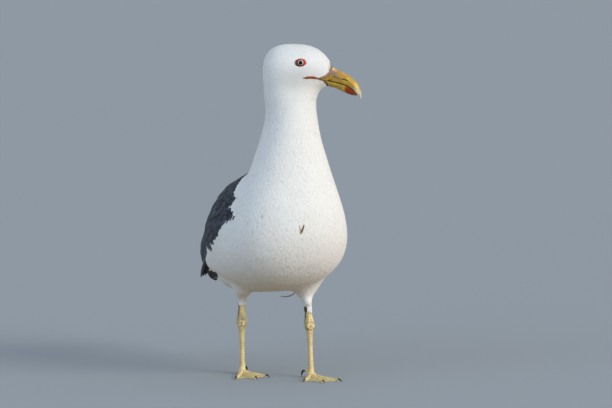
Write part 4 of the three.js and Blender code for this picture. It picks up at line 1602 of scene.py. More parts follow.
@dataclass
class Tail:
    """The twelve white tail feathers, closed to a narrow fan."""

    root: tuple[float, float, float] = (MIDDLE, 96.0, 143.0)
    tip: tuple[float, float, float] = (MIDDLE, 159.5, 99.5)
    half_root: float = 8.0
    half_tip: float = 9.5
    feather_width: float = 19.0
    droop: float = 0.006
    pairs: int = 6
    cut: Cut = Cut(columns=7, rows=12, widest=0.8, blunt=0.6, rag=0.008, crown=0.03, lean=0.15)

    def build(self, finish: bpy.types.Material) -> None:
        """Lay the feathers, the outer ones lowest.

        Args:
            finish: The plumage material.
        """
        across, along, rise = self.cut.grid(4)
        root, tip = np.array(self.root), np.array(self.tip)
        way = units(tip - root)
        out = np.cross((1.0, 0.0, 0.0), way)
        full = float(np.linalg.norm(tip - root))
        groups = []
        for number in range(2 * self.pairs):
            rank, sign = number // 2, 1 if number % 2 else -1
            place = sign * (rank + 0.5) / self.pairs
            half = self.half_root + (self.half_tip - self.half_root) * along
            x = half * place + across * self.feather_width / 2
            length = full - 2.0 - 3.5 * abs(place) ** 2
            height = 1.2 - 0.42 * rank - 0.12 * sign + 0.3 * rise - self.droop * x * x
            spots = root + way * (along * length)[:, None] + out * height[:, None]
            spots[:, 0] += x
            groups.append(spots)
        places = np.array(groups)
        lengths = np.full(len(groups), full)
        colours = quill_colours(across, along, lengths, np.zeros(len(groups)), Plume.WHITE, 6)
        vane = np.stack([np.tile(across * self.feather_width / 2, (len(groups), 1)),
                         lengths[:, None] * along[None]], 2)
        leans = np.broadcast_to(out, places.shape)
        piece = joined("tail_feathers", places * MM, self.cut.faces(),
                       {"OFBake": ordered_patches(len(groups), across, along), "Vane": vane},
                       np.clip(colours, 0, PALEST), leans, self.cut.tops())
        settle(piece, finish, "white_plumage", "tail")


# ---- bill
NOSTRIL_RISE = 0.0115


@dataclass(frozen=True)
class HornFinish:
    """The bill's horn: yellow, orange along the ridge, with painted shade on the lower one's rear by
    the feathers, pale at the tip.
    """

    name: str
    lower: bool = False
    spot_at: tuple[float, float] = (58.2, 0.54)

    def material(self) -> bpy.types.Material:
        """Make the material."""
        bench = Bench.material(self.name)
        forward, share, _ = bench.split(bench.kept("horn"))
        forward = forward * 100
        cloud = bench.noise(160, 4)
        streak = bench.noise(900, 3, stretch=(0.25, 0.25, 1.0))
        fleck = bench.noise(420, 3)
        tip_tone = (0.66, 0.60, 0.44)
        if self.lower:
            base = bench.mix(share.ramp(0.15, 0.9), (0.62, 0.43, 0.05), (0.66, 0.38, 0.035))
        else:
            base = bench.mix(share.ramp(0.45, 0.95), (0.45, 0.29, 0.03), (0.80, 0.39, 0.045))
            bright = forward.ramp(50, 60) * share.ramp(0.3, 0.75)
            base = bench.mix(bright, base, (0.90, 0.54, 0.008))
        base = bench.mix((cloud + streak * 0.5 - 0.1).ramp(0.38, 0.72) * 0.6, base,
                         (0.24, 0.145, 0.03))
        if self.lower:
            away = (((forward - self.spot_at[0]) / 6.4) ** 2.0
                    + ((share - self.spot_at[1]) / 0.66) ** 2.0)
            red = (away + (fleck - 0.5) * 1.3 + (cloud - 0.5)).ramp(1.45, 0.45)
            base = bench.mix(red, base, bench.mix(fleck.ramp(0.35, 0.65), (0.33, 0.012, 0.003),
                                                  (0.24, 0.045, 0.004)))
            # Painted shade: the lower horn's rear, under the chin's feathers, is mottled dark brown.
            dusk = forward.ramp(33.0, 30.0) * (fleck * 1.4).ramp(0.3, 0.7)
            base = bench.mix(dusk * 0.75, base, (0.07, 0.05, 0.03))
            knot = ((forward - 30.4) / 1.7) ** 2.0 + ((share - 0.66) / 0.24) ** 2.0
            base = bench.mix(knot.ramp(1.2, 0.6), base, (0.012, 0.007, 0.006))
            base = bench.mix(forward.ramp(61.5, 64.5) * 0.85, base, (0.17, 0.12, 0.09))
        else:
            dirt = forward.ramp(48, 40) * share.ramp(0.36, 0.46) * (1 - share.ramp(0.78, 0.95))
            dirt = dirt * (fleck + cloud * 0.6).ramp(0.32, 0.68)
            base = bench.mix(dirt * 0.85, base, (0.25, 0.155, 0.13))
            pale = forward.ramp(44.0, 36.5) * share.ramp(0.72, 0.93)
            base = bench.mix(pale * 0.75, base, (0.74, 0.57, 0.44))
            seam = (abs(share - 0.42 + (cloud - 0.5) * 0.08)).ramp(0.055, 0.012)
            seam = seam * forward.ramp(21, 27) * forward.ramp(49, 46)
            base = bench.mix(seam * 0.85, base, (0.085, 0.045, 0.03))
            # Painted shade: the nostril's slit is painted near black for the shade inside its opening,
            # which the mesh only dents.
            slit = (abs(share - 0.43 - (forward - 48.0) * NOSTRIL_RISE)).ramp(0.062, 0.026)
            slit = slit * forward.ramp(47.2, 48.6) * forward.ramp(56.2, 54.8)
            base = bench.mix(slit, base, (0.012, 0.009, 0.007))
            ridge = share.ramp(0.5, 0.85) * forward.ramp(71.5, 68.5)
            base = bench.mix(forward.ramp(61.0, 68.5) * (1 - ridge) * 0.85, base, tip_tone)
            hook = forward.ramp(67.5, 69.5) * share.ramp(0.55, 0.2)
            base = bench.mix(hook * 0.6, base, (0.20, 0.17, 0.15))
        rim = share.ramp(0.09, 0.015) * forward.ramp(72, 62)
        base = bench.mix(rim * 0.85, base, (0.085, 0.05, 0.02))
        height = streak * 0.6 + fleck * 0.5
        return bench.finish(Base_Color=base, Roughness=0.34 + cloud * 0.16,
                            Normal=bench.bump(height, 0.16), Specular_IOR_Level=0.3,
                            Coat_Weight=0.05, Coat_Roughness=0.25)


@dataclass
class Bill:
    """Both mandibles and the horn that runs back from them over the face.

    Each station gives the ridge's and the cutting edge's forward place and height, and the half
    width, from the head to the tip.
    """

    head: HeadFrame
    face: Face
    outline: Surface
    upper: tuple[tuple[float, ...], ...] = (
        (33.4, -5.8, 28.4, -22.1, 7.5), (38.9, -8.0, 33.4, -22.9, 7.2),
        (45.9, -11.8, 40.4, -24.7, 6.7), (52.9, -15.3, 47.4, -26.3, 6.1),
        (59.2, -19.1, 54.1, -28.9, 5.5), (64.4, -24.2, 60.4, -33.0, 4.8),
        (68.8, -30.3, 65.2, -37.7, 3.8), (71.3, -37.6, 68.4, -41.2, 2.4),
        (71.7, -44.9, 70.5, -45.6, 0.8))
    lower: tuple[tuple[float, ...], ...] = (
        (27.4, -29.7, 28.4, -22.7, 6.8), (32.0, -30.1, 33.4, -23.5, 6.6),
        (38.4, -31.5, 40.4, -25.3, 6.0), (45.0, -34.0, 47.4, -26.9, 5.3),
        (51.8, -37.4, 54.1, -29.5, 4.7), (58.2, -40.0, 60.4, -33.6, 4.0),
        (63.6, -41.1, 64.8, -38.1, 2.6), (66.6, -41.0, 67.0, -40.1, 0.9))
    rings: int = 84
    per_side: int = 18
    nostril: tuple[float, float, float] = (48.0, 55.6, 0.43)
    lip: float = 0.8

    def mandible(self, name: str, stations: tuple, fullness: float, finish: bpy.types.Material,
                 node: str) -> bpy.types.Object:
        """Loft one mandible.

        Args:
            name: The piece's name.
            stations: Its stations.
            fullness: How square its sides are.
            finish: Its material.
            node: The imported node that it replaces.

        Returns:
            The piece.
        """
        rows = curve(stations, self.rings)
        share = np.sin(np.linspace(0, math.pi / 2, self.per_side))
        side = (1 - share**fullness) ** 0.6
        roof = np.array((0.62, 0.0, -0.62))
        around = np.concatenate([share, share[-2::-1], np.zeros(3)])
        wide = np.concatenate([-side, side[-2::-1], roof])
        sunk = np.concatenate([np.zeros(2 * self.per_side - 1), (0.07, 0.12, 0.07)])
        rings, kept = [], []
        for ridge_f, ridge_h, edge_f, edge_h, half in rows:
            a = around + sunk
            f = edge_f + (ridge_f - edge_f) * a
            h = edge_h + (ridge_h - edge_h) * a
            s = wide * half
            if node == "bill_upper":
                low, high, level = self.nostril
                slit = ease(low, low + 1.5, f) * (1 - ease(high - 1.5, high, f))
                level = level + NOSTRIL_RISE * (f - low)
                slit = slit * np.exp(-(((around - level) / 0.045) ** 2)) * (sunk == 0)
                s = s * (1 - 0.22 * slit)
            rings.append(np.column_stack([f, s, h]))
            kept.append(np.column_stack([f / 100, around, h / 100]))
        flat = np.array(rings)
        piece = loft(name, self.head.spots(flat))
        self.keep(piece, np.array(kept).reshape(-1, 3), flat.reshape(-1, 3))
        return settle(piece, finish, "bill_horn", node)

    def keep(self, piece: bpy.types.Object, kept: Array, flat: Array) -> None:
        """Keep forward place and ridge share on a piece whose doubles were merged."""
        measures = self.head.measure(coordinates(piece.data))
        if len(measures) == len(kept):
            paint(piece.data, "horn", kept)
            return
        numbers = [int(np.argmin(((flat - spot) ** 2).sum(1))) for spot in measures]
        paint(piece.data, "horn", kept[numbers])

    def plate(self, name: str, top: Sequence, bottom: Sequence, span: tuple[float, float],
              shares: tuple[float, float], side: Side, finish: bpy.types.Material,
              solid: Surface) -> None:
        """A thin plate of horn that runs back from a mandible over the face.

        Args:
            name: The piece's name.
            top: Its upper edge, as forward and height pairs.
            bottom: Its lower edge.
            span: Its rear and front.
            shares: The ridge shares that its lower and upper edges are coloured as.
            side: The side of the head.
            finish: Its material.
            solid: The mandible's surface.
        """
        columns, rows = 34, 9
        forward = np.linspace(*span, columns)
        high = np.interp(forward, *np.array(top).T)
        low = np.interp(forward, *np.array(bottom).T)
        across = np.linspace(0, 1, rows)
        f = np.repeat(forward[:, None], rows, 1)
        h = low[:, None] + (high - low)[:, None] * across[None]
        starts, ways = self.head.inward(f.ravel(), h.ravel(), side)
        reach = []
        for surface in (self.outline, solid):
            hits = [surface.tree.ray_cast(a, b)[0] for a, b in zip(starts.tolist(), ways.tolist())]
            reach.append([0.0 if hit is None else
                          abs(float(self.head.measure(np.array([tuple(hit)]))[0, 1])) for hit in hits])
        lateral = np.maximum(*np.array(reach)).reshape(f.shape)
        for _ in range(10):
            lateral[1:-1] = (lateral[:-2] + 2 * lateral[1:-1] + lateral[2:]) / 4
        bulge = 0.35 * np.sin(across * math.pi)[None] ** 0.5 - 0.2
        fade = ease(0, 3.5, forward - span[0])[:, None]
        outer = np.stack([f, (lateral + bulge * fade - 0.5 * (1 - fade)) * side.value, h], 2)
        inner = outer[:, ::-1].copy()
        inner[:, :, 1] -= 2.4 * side.value
        flat = np.concatenate([outer, inner], 1)
        piece = loft(name, self.head.spots(flat))
        share = shares[0] + (shares[1] - shares[0]) * np.concatenate([across, across[::-1]])
        kept = np.stack([flat[:, :, 0] / 100, np.tile(share, (columns, 1)), flat[:, :, 2] / 100], 2)
        self.keep(piece, kept.reshape(-1, 3), flat.reshape(-1, 3))
        settle(piece, finish, "bill_horn")

    def gape(self, side: Side, lip: float, finish: bpy.types.Material) -> None:
        """One fleshy lip of the gape, from the corner of the mouth to the horn.

        Args:
            side: The side of the head.
            lip: 1 for the upper lip, -1 for the lower.
            finish: Its material.
        """
        forward, line = curve(self.face.mouth[:6], 48).T
        thick = self.lip * (0.25 + 0.75 * ease(3.4, 8.0, forward))
        thick = thick * (1 - 0.72 * ease(16.5, 22.5, forward))
        height = line + lip * thick * 0.8
        hits, _ = self.outline.cast(*self.head.inward(forward, height, side))
        lateral = np.abs(self.head.measure(hits)[:, 1])
        angles = np.linspace(0, 2 * math.pi, 13)[:-1]
        rings = np.stack([
            np.repeat(forward[:, None], 12, 1),
            (lateral[:, None] - 0.15 + np.cos(angles)[None] * thick[:, None] * 1.25) * side.value,
            height[:, None] + np.sin(angles)[None] * thick[:, None]], 2)
        piece = loft(f"gape_{'upper' if lip > 0 else 'lower'}_{side.word}", self.head.spots(rings))
        along = self.head.measure(coordinates(piece.data))[:, 0]
        dusk = ease(17, 22, along)[:, None] + 0.35 * (1 - ease(3.6, 6.5, along))[:, None]
        paint(piece.data, "plume", 1 - np.array((0.62, 0.35, 0.2)) * np.clip(dusk, 0, 1))
        settle(piece, finish, "bill_horn")

    def build(self) -> None:
        """Make the mandibles, their plates and the gape."""
        upper_horn = HornFinish("horn_upper").material()
        lower_horn = HornFinish("horn_lower", lower=True).material()
        over = self.mandible("mandible_upper", self.upper, 2.7, upper_horn, "bill_upper")
        under = self.mandible("mandible_lower", self.lower, 2.3, lower_horn, "bill_lower")
        flesh = FleshFinish("gape_flesh", (0.40, 0.105, 0.014), (0.22, 0.045, 0.008)).material()
        mouth = [(f, h + 0.12) for f, h in self.face.mouth]
        below = [(f, h - 0.12) for f, h in self.face.mouth]
        for side in Side:
            self.plate(f"horn_plate_upper_{side.word}", self.face.horn_upper, mouth, (21.6, 37.5),
                       (0.0, 0.75), side, upper_horn, Surface(over))
            self.plate(f"horn_plate_lower_{side.word}", below, self.face.horn_lower, (27.2, 37.5),
                       (0.8, 0.0), side, lower_horn, Surface(under))
            for lip in (1, -1):
                self.gape(side, lip, flesh)


@dataclass(frozen=True)
class FleshFinish:
    """Bare soft skin: two tones in beads, with a wet look."""

    name: str
    light: Colour
    dark: Colour
    beads: float = 2600.0

    def material(self) -> bpy.types.Material:
        """Make the material."""
        bench = Bench.material(self.name)
        bead = bench.node("ShaderNodeTexVoronoi", {"feature": "F1"},
                          {"Vector": bench.place(), "Scale": self.beads}, out="Distance")
        cloud = bench.noise(700, 3)
        colour = bench.mix((bead * 0.9 + cloud * 0.5).ramp(0.25, 0.95), self.light, self.dark)
        colour = bench.mix(1.0, colour, bench.kept("plume"), "MULTIPLY")
        return bench.finish(Base_Color=colour, Roughness=0.42 + cloud * 0.15,
                            Normal=bench.bump(1 - bead, 0.10), Specular_IOR_Level=0.25)


# ---- eyes
@dataclass(frozen=True)
class EyeFinish:
    """The eyeball: black pupil, cream iris with fine rays, dark limbus, under a wet cornea."""

    pupil: float = 0.44
    iris: float = 0.71

    def material(self) -> bpy.types.Material:
        """Make the material."""
        bench = Bench.material("eye_wet")
        reach, ray_a, ray_b = bench.split(bench.kept("iris"))
        rays = bench.node("ShaderNodeCombineXYZ", sockets={0: ray_a * 9, 1: ray_b * 9, 2: reach * 2})
        fine = bench.noise(2.2, 4, place=rays)
        cream = bench.mix(fine.ramp(0.3, 0.75), (0.82, 0.80, 0.70), (0.58, 0.54, 0.42))
        cream = bench.mix(reach.ramp(self.pupil + 0.055, self.pupil), cream, (0.30, 0.25, 0.14))
        cream = bench.mix(reach.ramp(self.iris - 0.09, self.iris), cream, (0.030, 0.016, 0.010))
        shown = bench.mix(reach.ramp(self.pupil, self.pupil + 0.015), (0.003, 0.003, 0.003), cream)
        return bench.finish(Base_Color=shown, Roughness=0.16, Specular_IOR_Level=0.25,
                            Coat_Weight=0.25, Coat_Roughness=0.03)


@dataclass
class Eye:
    """One eye: the ball with its cornea, and the red ring of its lids."""

    side: Side
    head: HeadFrame
    face: Face
    outline: Surface
    around: int = 72
    radius: float = 5.4
    sunk: float = 0.2
    waist: float = 4.1
    clear: float = 0.22

    def __post_init__(self) -> None:
        """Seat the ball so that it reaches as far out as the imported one."""
        low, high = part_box(f"eye_{self.side.word}")
        packed = self.head.measure(np.array([(low + high) / 2]))[0]
        self.seat = abs(packed[1]) + (high - low)[2] / 2 / MM - self.radius - self.sunk

    def ball(self) -> None:
        """Make the eyeball."""
        radius = self.radius * MM
        centre = self.head.spots(np.array([(0.0, self.seat * self.side.value, 0.0)]))
        deselect()
        bpy.ops.mesh.primitive_uv_sphere_add(segments=64, ring_count=40, radius=radius,
                                             location=(0, 0, 0))
        piece = bpy.context.object
        piece.name = f"eyeball_{self.side.word}"
        local = coordinates(piece.data)
        reach = np.hypot(local[:, 0], local[:, 1]) / radius
        bulge = 0.05 * np.clip(1 - (reach / 0.6) ** 2, 0, 1) * (local[:, 2] > 0)
        axis = self.head.aside * self.side.value
        up = self.head.up
        cross = np.cross(up, axis)
        local *= (1 + bulge)[:, None]
        wide = np.maximum(np.hypot(local[:, 0], local[:, 1]) / MM, 1e-6)
        waist = np.minimum(wide, self.waist + 0.1 * (wide - self.waist)) / wide
        local[:, :2] *= np.where(wide > self.waist, waist, 1.0)[:, None]
        placed = centre + local[:, 0:1] * cross + local[:, 1:2] * up + local[:, 2:3] * axis
        angle = np.arctan2(local[:, 1], local[:, 0])
        reach = np.where(local[:, 2] > 0, reach, 1.0)
        paint(piece.data, "iris", np.column_stack([reach, np.cos(angle) / 2 + 0.5,
                                                   np.sin(angle) / 2 + 0.5]))
        set_coordinates(piece.data, placed)
        smooth(piece)
        settle(piece, EyeFinish().material(), "eye_ball", f"eye_{self.side.word}")

    def lids(self) -> None:
        """Make the ring of the lids, from the ball out to the feathers, its tones with painted light
        and shade.
        """
        angle = np.linspace(0, 2 * math.pi, self.around, endpoint=False)
        outer = self.face.ring_reach(angle)
        inner = np.hypot(self.face.opening_long * np.cos(angle),
                         self.face.opening_high * np.sin(angle))
        rays = self.head.inward(outer * np.cos(angle), outer * np.sin(angle), self.side)
        hits, _ = self.outline.cast(*rays)
        rim = np.abs(self.head.measure(hits)[:, 1]) + 0.05
        rings, tones = [], []
        across = np.linspace(0, 1, 13)
        for k in range(self.around):
            reach = inner[k] + (outer[k] - inner[k]) * across
            ball = self.seat + np.sqrt(np.maximum(self.radius**2 - reach**2, 0))
            level = ball[0] + (rim[k] - ball[0]) * across
            level = level + 0.75 * np.sin(math.pi * np.clip(across, 0, 1) ** 0.8) ** 0.9
            level = level - 0.25 * np.exp(-(((across - 0.34) / 0.07) ** 2))
            level = np.where(reach < self.waist + 0.2, np.maximum(level, ball + self.clear), level)
            top = np.column_stack([reach * math.cos(angle[k]), level, reach * math.sin(angle[k])])
            under = top[::-1][1:-1].copy()
            under[:, 1] -= 2.0
            rings.append(np.vstack([top, under]))
            # Painted light and shade: the ring is lighter at the top and front and darker at the
            # bottom and rear, as lit from above in front. The ring also darkens towards the ball.
            bright = 0.42 + 0.50 * math.sin(angle[k]) + 0.38 * math.cos(angle[k])
            shade = np.clip(0.25 + 0.95 * bright, 0.16, 1.0)
            shade = shade * (0.2 + 0.8 * ease(0.08, 0.36, across))
            tone = np.concatenate([shade, shade[::-1][1:-1]])
            tones.append(np.column_stack([tone, tone * 0.75 + 0.05, tone * 0.7]))
        flat = np.array(rings)
        flat[:, :, 1] *= self.side.value
        piece = loft(f"eyelids_{self.side.word}", self.head.spots(flat), capped=False)
        paint(piece.data, "plume", np.array(tones).reshape(-1, 3))
        flesh = FleshFinish(f"lid_flesh_{self.side.word}", (0.78, 0.075, 0.03), (0.50, 0.03, 0.015))
        settle(piece, flesh.material(), "bill_horn")

    def build(self) -> None:
        """Make the ball and its lids."""
        self.ball()
        self.lids()


# ---- small loose pieces
@dataclass
class Wisp:
    """A small tapered blade along a curve: a stray feather, a fleck or a little claw."""

    name: str
    path: Sequence
    half_width: float
    half_depth: float
    tone: Colour
    flat_to: tuple[float, float, float]
    steps: int = 28
    around: int = 12

    def build(self, finish: bpy.types.Material, slot: str) -> None:
        """Loft the blade.

        Args:
            finish: Its material.
            slot: The record's material slot.
        """
        line = curve(self.path, self.steps)
        way = units(np.gradient(line, axis=0))
        side = units(np.cross(way, self.flat_to))
        up = np.cross(side, way)
        share = np.linspace(0, 1, self.steps)
        full = (np.sin(math.pi * np.clip(share * 0.86 + 0.10, 0, 1)) ** 0.7)[:, None, None]
        angle = np.linspace(0, 2 * math.pi, self.around, endpoint=False)[None, :, None]
        rings = line[:, None] + full * (side[:, None] * np.cos(angle) * self.half_width
                                        + up[:, None] * np.sin(angle) * self.half_depth)
        piece = loft(self.name, rings * MM)
        paint(piece.data, "plume", np.tile(self.tone, (len(piece.data.vertices), 1)))
        settle(piece, finish, slot)


def loose_pieces(skin: Skin, finish: bpy.types.Material) -> None:
    """Add the fleck on the breast, the stray feather under it and the lowered primaries.

    Args:
        skin: The bird's skin.
        finish: A plumage material without vanes.
    """
    before = -260.0
    strokes = (
        ("fleck_long", ((2.9, 195.6), (1.6, 191.5), (0.2, 187.6), (-1.0, 184.6)), 1.05, 0.6,
         (0.17, 0.085, 0.02)),
        ("fleck_short", ((-2.6, 195.0), (-2.0, 191.5), (-1.4, 188.4), (-1.0, 185.6)), 0.5, 0.4,
         (0.42, 0.33, 0.21)))
    for name, spots, wide, thick, tone in strokes:
        starts = np.array([(x, before, z) for x, z in spots]) * MM
        places, normals = skin.outline.cast(starts, np.tile((0.0, 1.0, 0.0), (len(starts), 1)))
        path = places / MM + normals * 0.15
        Wisp(name, path, wide, thick, tone, tuple(normals[0])).build(finish, "white_plumage")
    stray = ((26.4, -86.5, 103.5), (22.4, -86.5, 99.6), (16.9, -86.5, 97.2), (11.0, -86.5, 96.8),
             (5.6, -86.5, 97.6))
    Wisp("stray_feather", stray, 1.6, 0.5, (0.44, 0.37, 0.31), (0.0, 0.6, 1.0)).build(
        finish, "white_plumage")
    for number, x in enumerate((-54.0, -51.6, -49.2)):
        point = ((x + 1.5, 22.0, 134.0), (x, 38.0, 124.0), (x + 1.0, 52.0, 114.5),
                 (x + 2.5, 64.0 - 2.0 * number, 106.5 + 1.5 * number))
        Wisp(f"lowered_primary_{number + 1}_right", point, 4.3, 1.4, Plume.BLACK.value,
             (-0.85, -0.4, 0.3)).build(finish, "black_plumage")


# ---- legs
@dataclass(frozen=True)
class ScaleFinish:
    """The scaled skin of the legs: yellow-olive with dusky marks between the scales, and painted shade
    on the back of the leg.
    """

    name: str = "leg_scales"

    def material(self) -> bpy.types.Material:
        """Make the material."""
        bench = Bench.material(self.name)
        groove, joint, web = bench.split(bench.kept("scales"))
        cloud, fleck = bench.noise(120, 4), bench.noise(520, 3)
        net = bench.node("ShaderNodeTexVoronoi", {"feature": "DISTANCE_TO_EDGE"},
                         {"Vector": bench.place(), "Scale": 620.0}, out="Distance")
        base = bench.mix(cloud.ramp(0.35, 0.7), (0.97, 0.76, 0.38), (0.79, 0.61, 0.27))
        # The web channel also carries painted shade: the back of the leg is painted olive.
        base = bench.mix(web * 0.8, base, (0.50, 0.42, 0.20))
        base = bench.mix(joint * fleck.ramp(0.50, 0.62) * 0.85, base, (0.12, 0.10, 0.05))
        base = bench.mix((joint * cloud.ramp(0.4, 0.62)) * 0.5, base, (0.48, 0.47, 0.36))
        base = bench.mix(groove.least(1.0) * 0.5, base, (0.24, 0.18, 0.06))
        # Groove values over one hold the ankle's creases and painted shade on the shank's back.
        base = bench.mix(groove.ramp(1.0, 1.5), base, (0.09, 0.06, 0.025))
        base = bench.mix(net.ramp(0.09, 0.0) * 0.35, base, (0.30, 0.23, 0.08))
        base = bench.mix(fleck.ramp(0.66, 0.74) * 0.6, base, (0.14, 0.11, 0.06))
        height = net.ramp(0.0, 0.16) + fleck * 0.3
        return bench.finish(Base_Color=base, Roughness=0.46 + cloud * 0.14,
                            Normal=bench.bump(height, 0.12), Specular_IOR_Level=0.4)


@dataclass(frozen=True)
class ClawFinish:
    """Black claw horn, streaked along and worn at the tips."""

    def material(self) -> bpy.types.Material:
        """Make the material."""
        bench = Bench.material("claw_black")
        streak, cloud = bench.noise(1500, 2), bench.noise(400, 3)
        base = bench.mix(cloud.ramp(0.4, 0.8), (0.012, 0.011, 0.010), (0.05, 0.04, 0.03))
        return bench.finish(Base_Color=base, Roughness=0.28 + streak * 0.15,
                            Normal=bench.bump(streak, 0.05), Coat_Weight=0.2)


@dataclass
class Leg:
    """One bare leg with its webbed foot and claws."""

    side: Side
    ankle: float = 64.5
    voxel: float = 0.5
    toe_turns: tuple[float, float, float] = (27.0, 2.0, -24.0)
    toe_in: float = 3.0
    shell: float = 0.28
    scute_pitch: float = 3.1
    toe_scute_pitch: float = 2.3
    # The way that the leg's painted-shade side faces.
    shaded_side: tuple[float, float, float] = (-0.961, 0.276, 0.0)
    cuff_rings: tuple[float, ...] = (6.5, 4.4, 2.8, 1.4)
    cuff_feathers: int = 19
    cuff_radius: float = 4.4
    cuff_most: float = 9.5
    cuff_long_at: float = -0.6
    # Painted shade on each cuff, left leg first: the angle of its shaded side and the tone painted
    # there.
    cuff_dusky: tuple[tuple[float, Colour], ...] = ((-2.75, (0.075, 0.062, 0.018)),
                                                    (2.7, (0.14, 0.18, 0.20)))

    def skin(self) -> None:
        """Make the scaled skin of shank, tarsus and foot, with painted shade on its back."""
        word = self.side.word
        nodes = [f"{part}_{word}" for part in ("shank", "tarsus", "foot", "hallux")]
        piece = merged_copy(f"leg_{word}", nodes)
        grow(piece, self.shell)
        finish_with(piece, "REMESH", mode="VOXEL", voxel_size=self.voxel * MM)
        finish_with(piece, "SMOOTH", factor=0.5, iterations=4)
        grow(piece, -self.shell)
        mesh = piece.data
        places, normals = coordinates(mesh) / MM, normals_of(mesh)
        low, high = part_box(f"tarsus_{word}")
        heel = np.array(((low[0] + high[0]) / 2, (low[1] + high[1]) / 2)) / MM
        x, y, z = places.T
        front = np.clip(-normals[:, 1], 0, 1)
        shaft = ease(9, 14, z) * (1 - ease(54, 58, z))
        wave = np.abs(((z + 0.35 * (x - heel[0])) / self.scute_pitch) % 1 - 0.5) * 2
        groove = np.exp(-(((1 - wave) / 0.22) ** 2)) * shaft * ease(0.15, 0.5, front)
        joint = np.exp(-(((z - self.ankle - 1) / 9.5) ** 2))
        bend = self.ankle - 5.6 + 0.8 * np.sin(1.1 * x)
        crease = np.exp(-(((z - bend) / 0.75) ** 2)) + 0.6 * np.exp(-(((z - bend - 9) / 0.6) ** 2))
        crease = crease * ease(0.0, 0.4, front) * ease(-0.9, 0.2, np.sin(1.7 * x + 0.6))
        lumps = np.sin(x * 1.9 + z * 1.1) * np.sin(z * 1.25 - y * 1.4) * joint
        spread = np.hypot(x - heel[0], y - heel[1] - 2)
        turn = np.degrees(np.arctan2((x - heel[0]), -(y - heel[1] - 2)))
        turns = [self.side.value * (t - self.toe_in) for t in self.toe_turns]
        aside = np.min([np.abs(np.sin(np.radians(turn - t))) * spread for t in turns], axis=0)
        flat = (z < 9) & (spread > 8)
        toe = flat * (1 - ease(2.4, 3.6, aside)) * ease(0.2, 0.6, normals[:, 2])
        toe_wave = np.abs((spread / self.toe_scute_pitch) % 1 - 0.5) * 2
        toe_groove = np.exp(-(((1 - toe_wave) / 0.25) ** 2)) * toe
        web = flat * ease(2.6, 4.2, aside)
        # Painted shade: the side of the leg that faces shaded_side is painted olive through the web
        # channel.
        shaded = normals @ self.shaded_side
        behind = ease(0.35, 0.95, shaded) * (z > 9)
        ripple = np.sin(spread * 2.1 + turn * 0.25) * web
        push = -0.24 * groove - 0.20 * toe_groove - 0.45 * crease + 0.40 * lumps + 0.07 * ripple
        push = np.where(z < 1.0, 0, push)
        places = places + normals * push[:, None]
        places[:, 2] = np.maximum(places[:, 2], 0.02)
        set_coordinates(mesh, places * MM)
        # Painted shade: the shank's shaded back above the ankle is painted dark through the groove
        # channel.
        dusk = 1.35 * ease(0.35, 0.8, shaded) * ease(66, 74, z)
        kept = np.column_stack([np.clip(groove + toe_groove + 2.2 * crease + dusk, 0, 2), joint,
                                np.maximum(web, 0.8 * behind)])
        paint(mesh, "scales", kept)
        smooth(piece)
        settle(piece, ScaleFinish().material(), "leg_skin", *nodes)

    def claws(self) -> None:
        """Make the claws of the webbed toes and the small one of the hind toe."""
        word = self.side.word
        nodes = [f"claw_{toe}_{word}" for toe in ("outer", "middle", "inner")]
        piece = merged_copy(f"claws_{word}", nodes)
        finish_with(piece, "SUBSURF", levels=2, render_levels=2)
        smooth(piece)
        horn = ClawFinish().material()
        settle(piece, horn, "claw_horn", *nodes)
        places = coordinates(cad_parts[f"hallux_{word}"].data) / MM
        inner = -self.side.value
        end = places[np.argmax(places[:, 0] * inner + places[:, 1])]
        way = np.array((inner * 0.64, 0.77, 0.0))
        path = [end + way * forward + (0, 0, down)
                for forward, down in ((-2.6, 0.2), (0.2, -0.2), (2.0, -2.6), (2.8, -6.4))]
        hind = Wisp(f"claw_hind_{word}", path, 1.15, 1.4, (0.012, 0.011, 0.010), (0.0, 0.0, 1.0))
        hind.build(horn, "claw_horn")

    def cuff(self, skin: "Skin", finish: bpy.types.Material) -> None:
        """Hang a ragged ring of small feathers from the thigh over the top of the shank, some painted
        dark as shade.

        Args:
            skin: The bird's skin.
            finish: The plumage material.
        """
        shank = Surface(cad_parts[f"shank_{self.side.word}"])
        top = shank.places[shank.places[:, 2] > shank.places[:, 2].max() - 2 * MM]
        middle = (top.max(0) + top.min(0)) / 2
        high = top[:, 2].mean() / MM
        cut, draw = Cut(columns=5, rows=6, rag=0.12, blunt=0.2), np.random.default_rng(7)
        across, along, rise = cut.grid(2)
        count = len(self.cuff_rings) * self.cuff_feathers
        ring = np.repeat(np.arange(len(self.cuff_rings)), self.cuff_feathers)
        turn = (np.arange(count) + 0.5 * ring) * 2 * math.pi / self.cuff_feathers
        turn = turn + draw.normal(0, 0.08, count)
        starts = np.array(self.cuff_rings)[ring] + draw.normal(0, 0.4, count) + high
        outside = 0.5 + 0.5 * np.cos(turn - self.cuff_long_at)
        length = draw.uniform(3.8, 6.8, count) + 3.4 * outside**2 * (self.side is Side.LEFT)
        if self.side is Side.RIGHT:
            length = np.minimum(length, starts - high + 1.2)
        wide = draw.uniform(1.9, 2.7, count)
        z = starts[:, None] - along[None] * length[:, None]
        angle = turn[:, None] + across[None] * wide[:, None] / 2 / self.cuff_radius
        out = np.stack([np.cos(angle), np.sin(angle), 0 * angle], 2)
        flat = out.reshape(-1, 3)

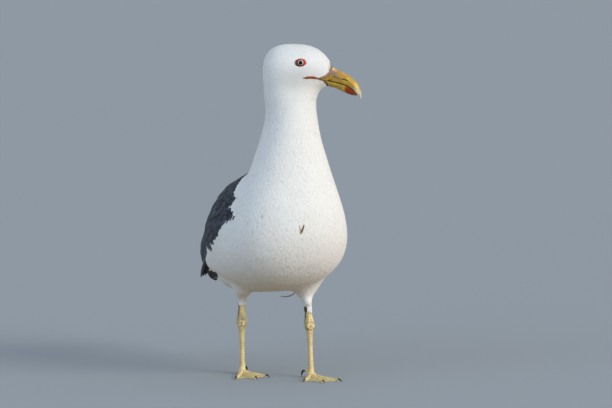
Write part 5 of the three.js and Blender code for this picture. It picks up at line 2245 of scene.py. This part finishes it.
        def radius(surface: Surface, low: float, top_z: float) -> Array:
            """How far a surface is from the leg's middle at the feathers' heights and angles."""
            level = np.clip(z.reshape(-1), low, top_z) * MM
            centre = np.column_stack([np.tile(middle[:2], (len(level), 1)), level])
            places, _ = surface.cast(centre, flat)
            found = np.linalg.norm(places[:, :2] - middle[:2], axis=1).reshape(z.shape) / MM
            return np.minimum(found, self.cuff_most)
        bare, thigh = radius(shank, 60.0, high - 1.5), radius(skin.surface, high + 2.2, 200.0)
        lift = 0.15 + (0.55 * np.minimum(along, 1) ** 0.6 * (0.6 + 0.4 * rise))[None]
        reach = bare + lift + np.maximum(thigh - bare, 0) * ease(high - 2.5, high + 3.5, z)
        x, y = (middle[k] / MM + out[..., k] * reach for k in (0, 1))
        places = np.stack([x, y, z], 2)
        tones = np.tile(np.array(Plume.WHITE.value), (count, len(across), 1))
        # Painted shade: on the shaded side, the feathers of all but the top ring are painted dark.
        at, dusk = self.cuff_dusky[self.side is Side.RIGHT]
        tones[(np.cos(turn - at) > 0.8) & (ring > 0)] = dusk
        spot = np.stack([turn / (2 * math.pi) % 1, (starts - high) / 40 + 0.5], 1)
        patch = spot[:, None] + Coat.patch * np.stack([across / 2, along - 0.5], 1)[None]
        vane = np.stack([across[None] * wide[:, None] / 2, along[None] * length[:, None]], 2)
        piece = joined(f"coat_cuff_{self.side.word}", places * MM, cut.faces(flipped=True),
                       {"OFBake": patch, "Vane": vane}, tones)
        settle(piece, finish, "white_plumage")

    def build(self, skin: "Skin", finish: bpy.types.Material) -> None:
        """Make the leg.

        Args:
            skin: The bird's skin.
            finish: The plumage material.
        """
        self.skin()
        self.claws()
        self.cuff(skin, finish)


def main() -> None:
    """Build the bird piece by piece."""
    logging.basicConfig(level=logging.INFO, format="%(message)s")
    Studio().build()
    head, face = HeadFrame(), Face()
    skin = Skin(head, face)
    skin.build()
    plumage = PlumageFinish("plumage").material()
    # The dark plumage carries painted sheen in long pale stripes.
    dark = PlumageFinish("plumage_dark", 0.72, 0.05, 0.12, streak=0.62).material()
    Coat(skin, Lie(head)).build(plumage, dark)
    for side in Side:
        FoldedWing(side, skin.guide).build(dark)
        Blade(side, 9.0 if side is Side.LEFT else 0.0).build(dark)
    Tail().build(plumage)
    Bill(head, face, skin.outline).build()
    plain = PlumageFinish("stray_down", barb_depth=0.1, vanes=False).material()
    loose_pieces(skin, plain)
    for side in Side:
        Eye(side, head, face, skin.outline).build()
        Leg(side).build(skin, plumage)
    skin.thin()


if __name__ == "__main__":
    main()
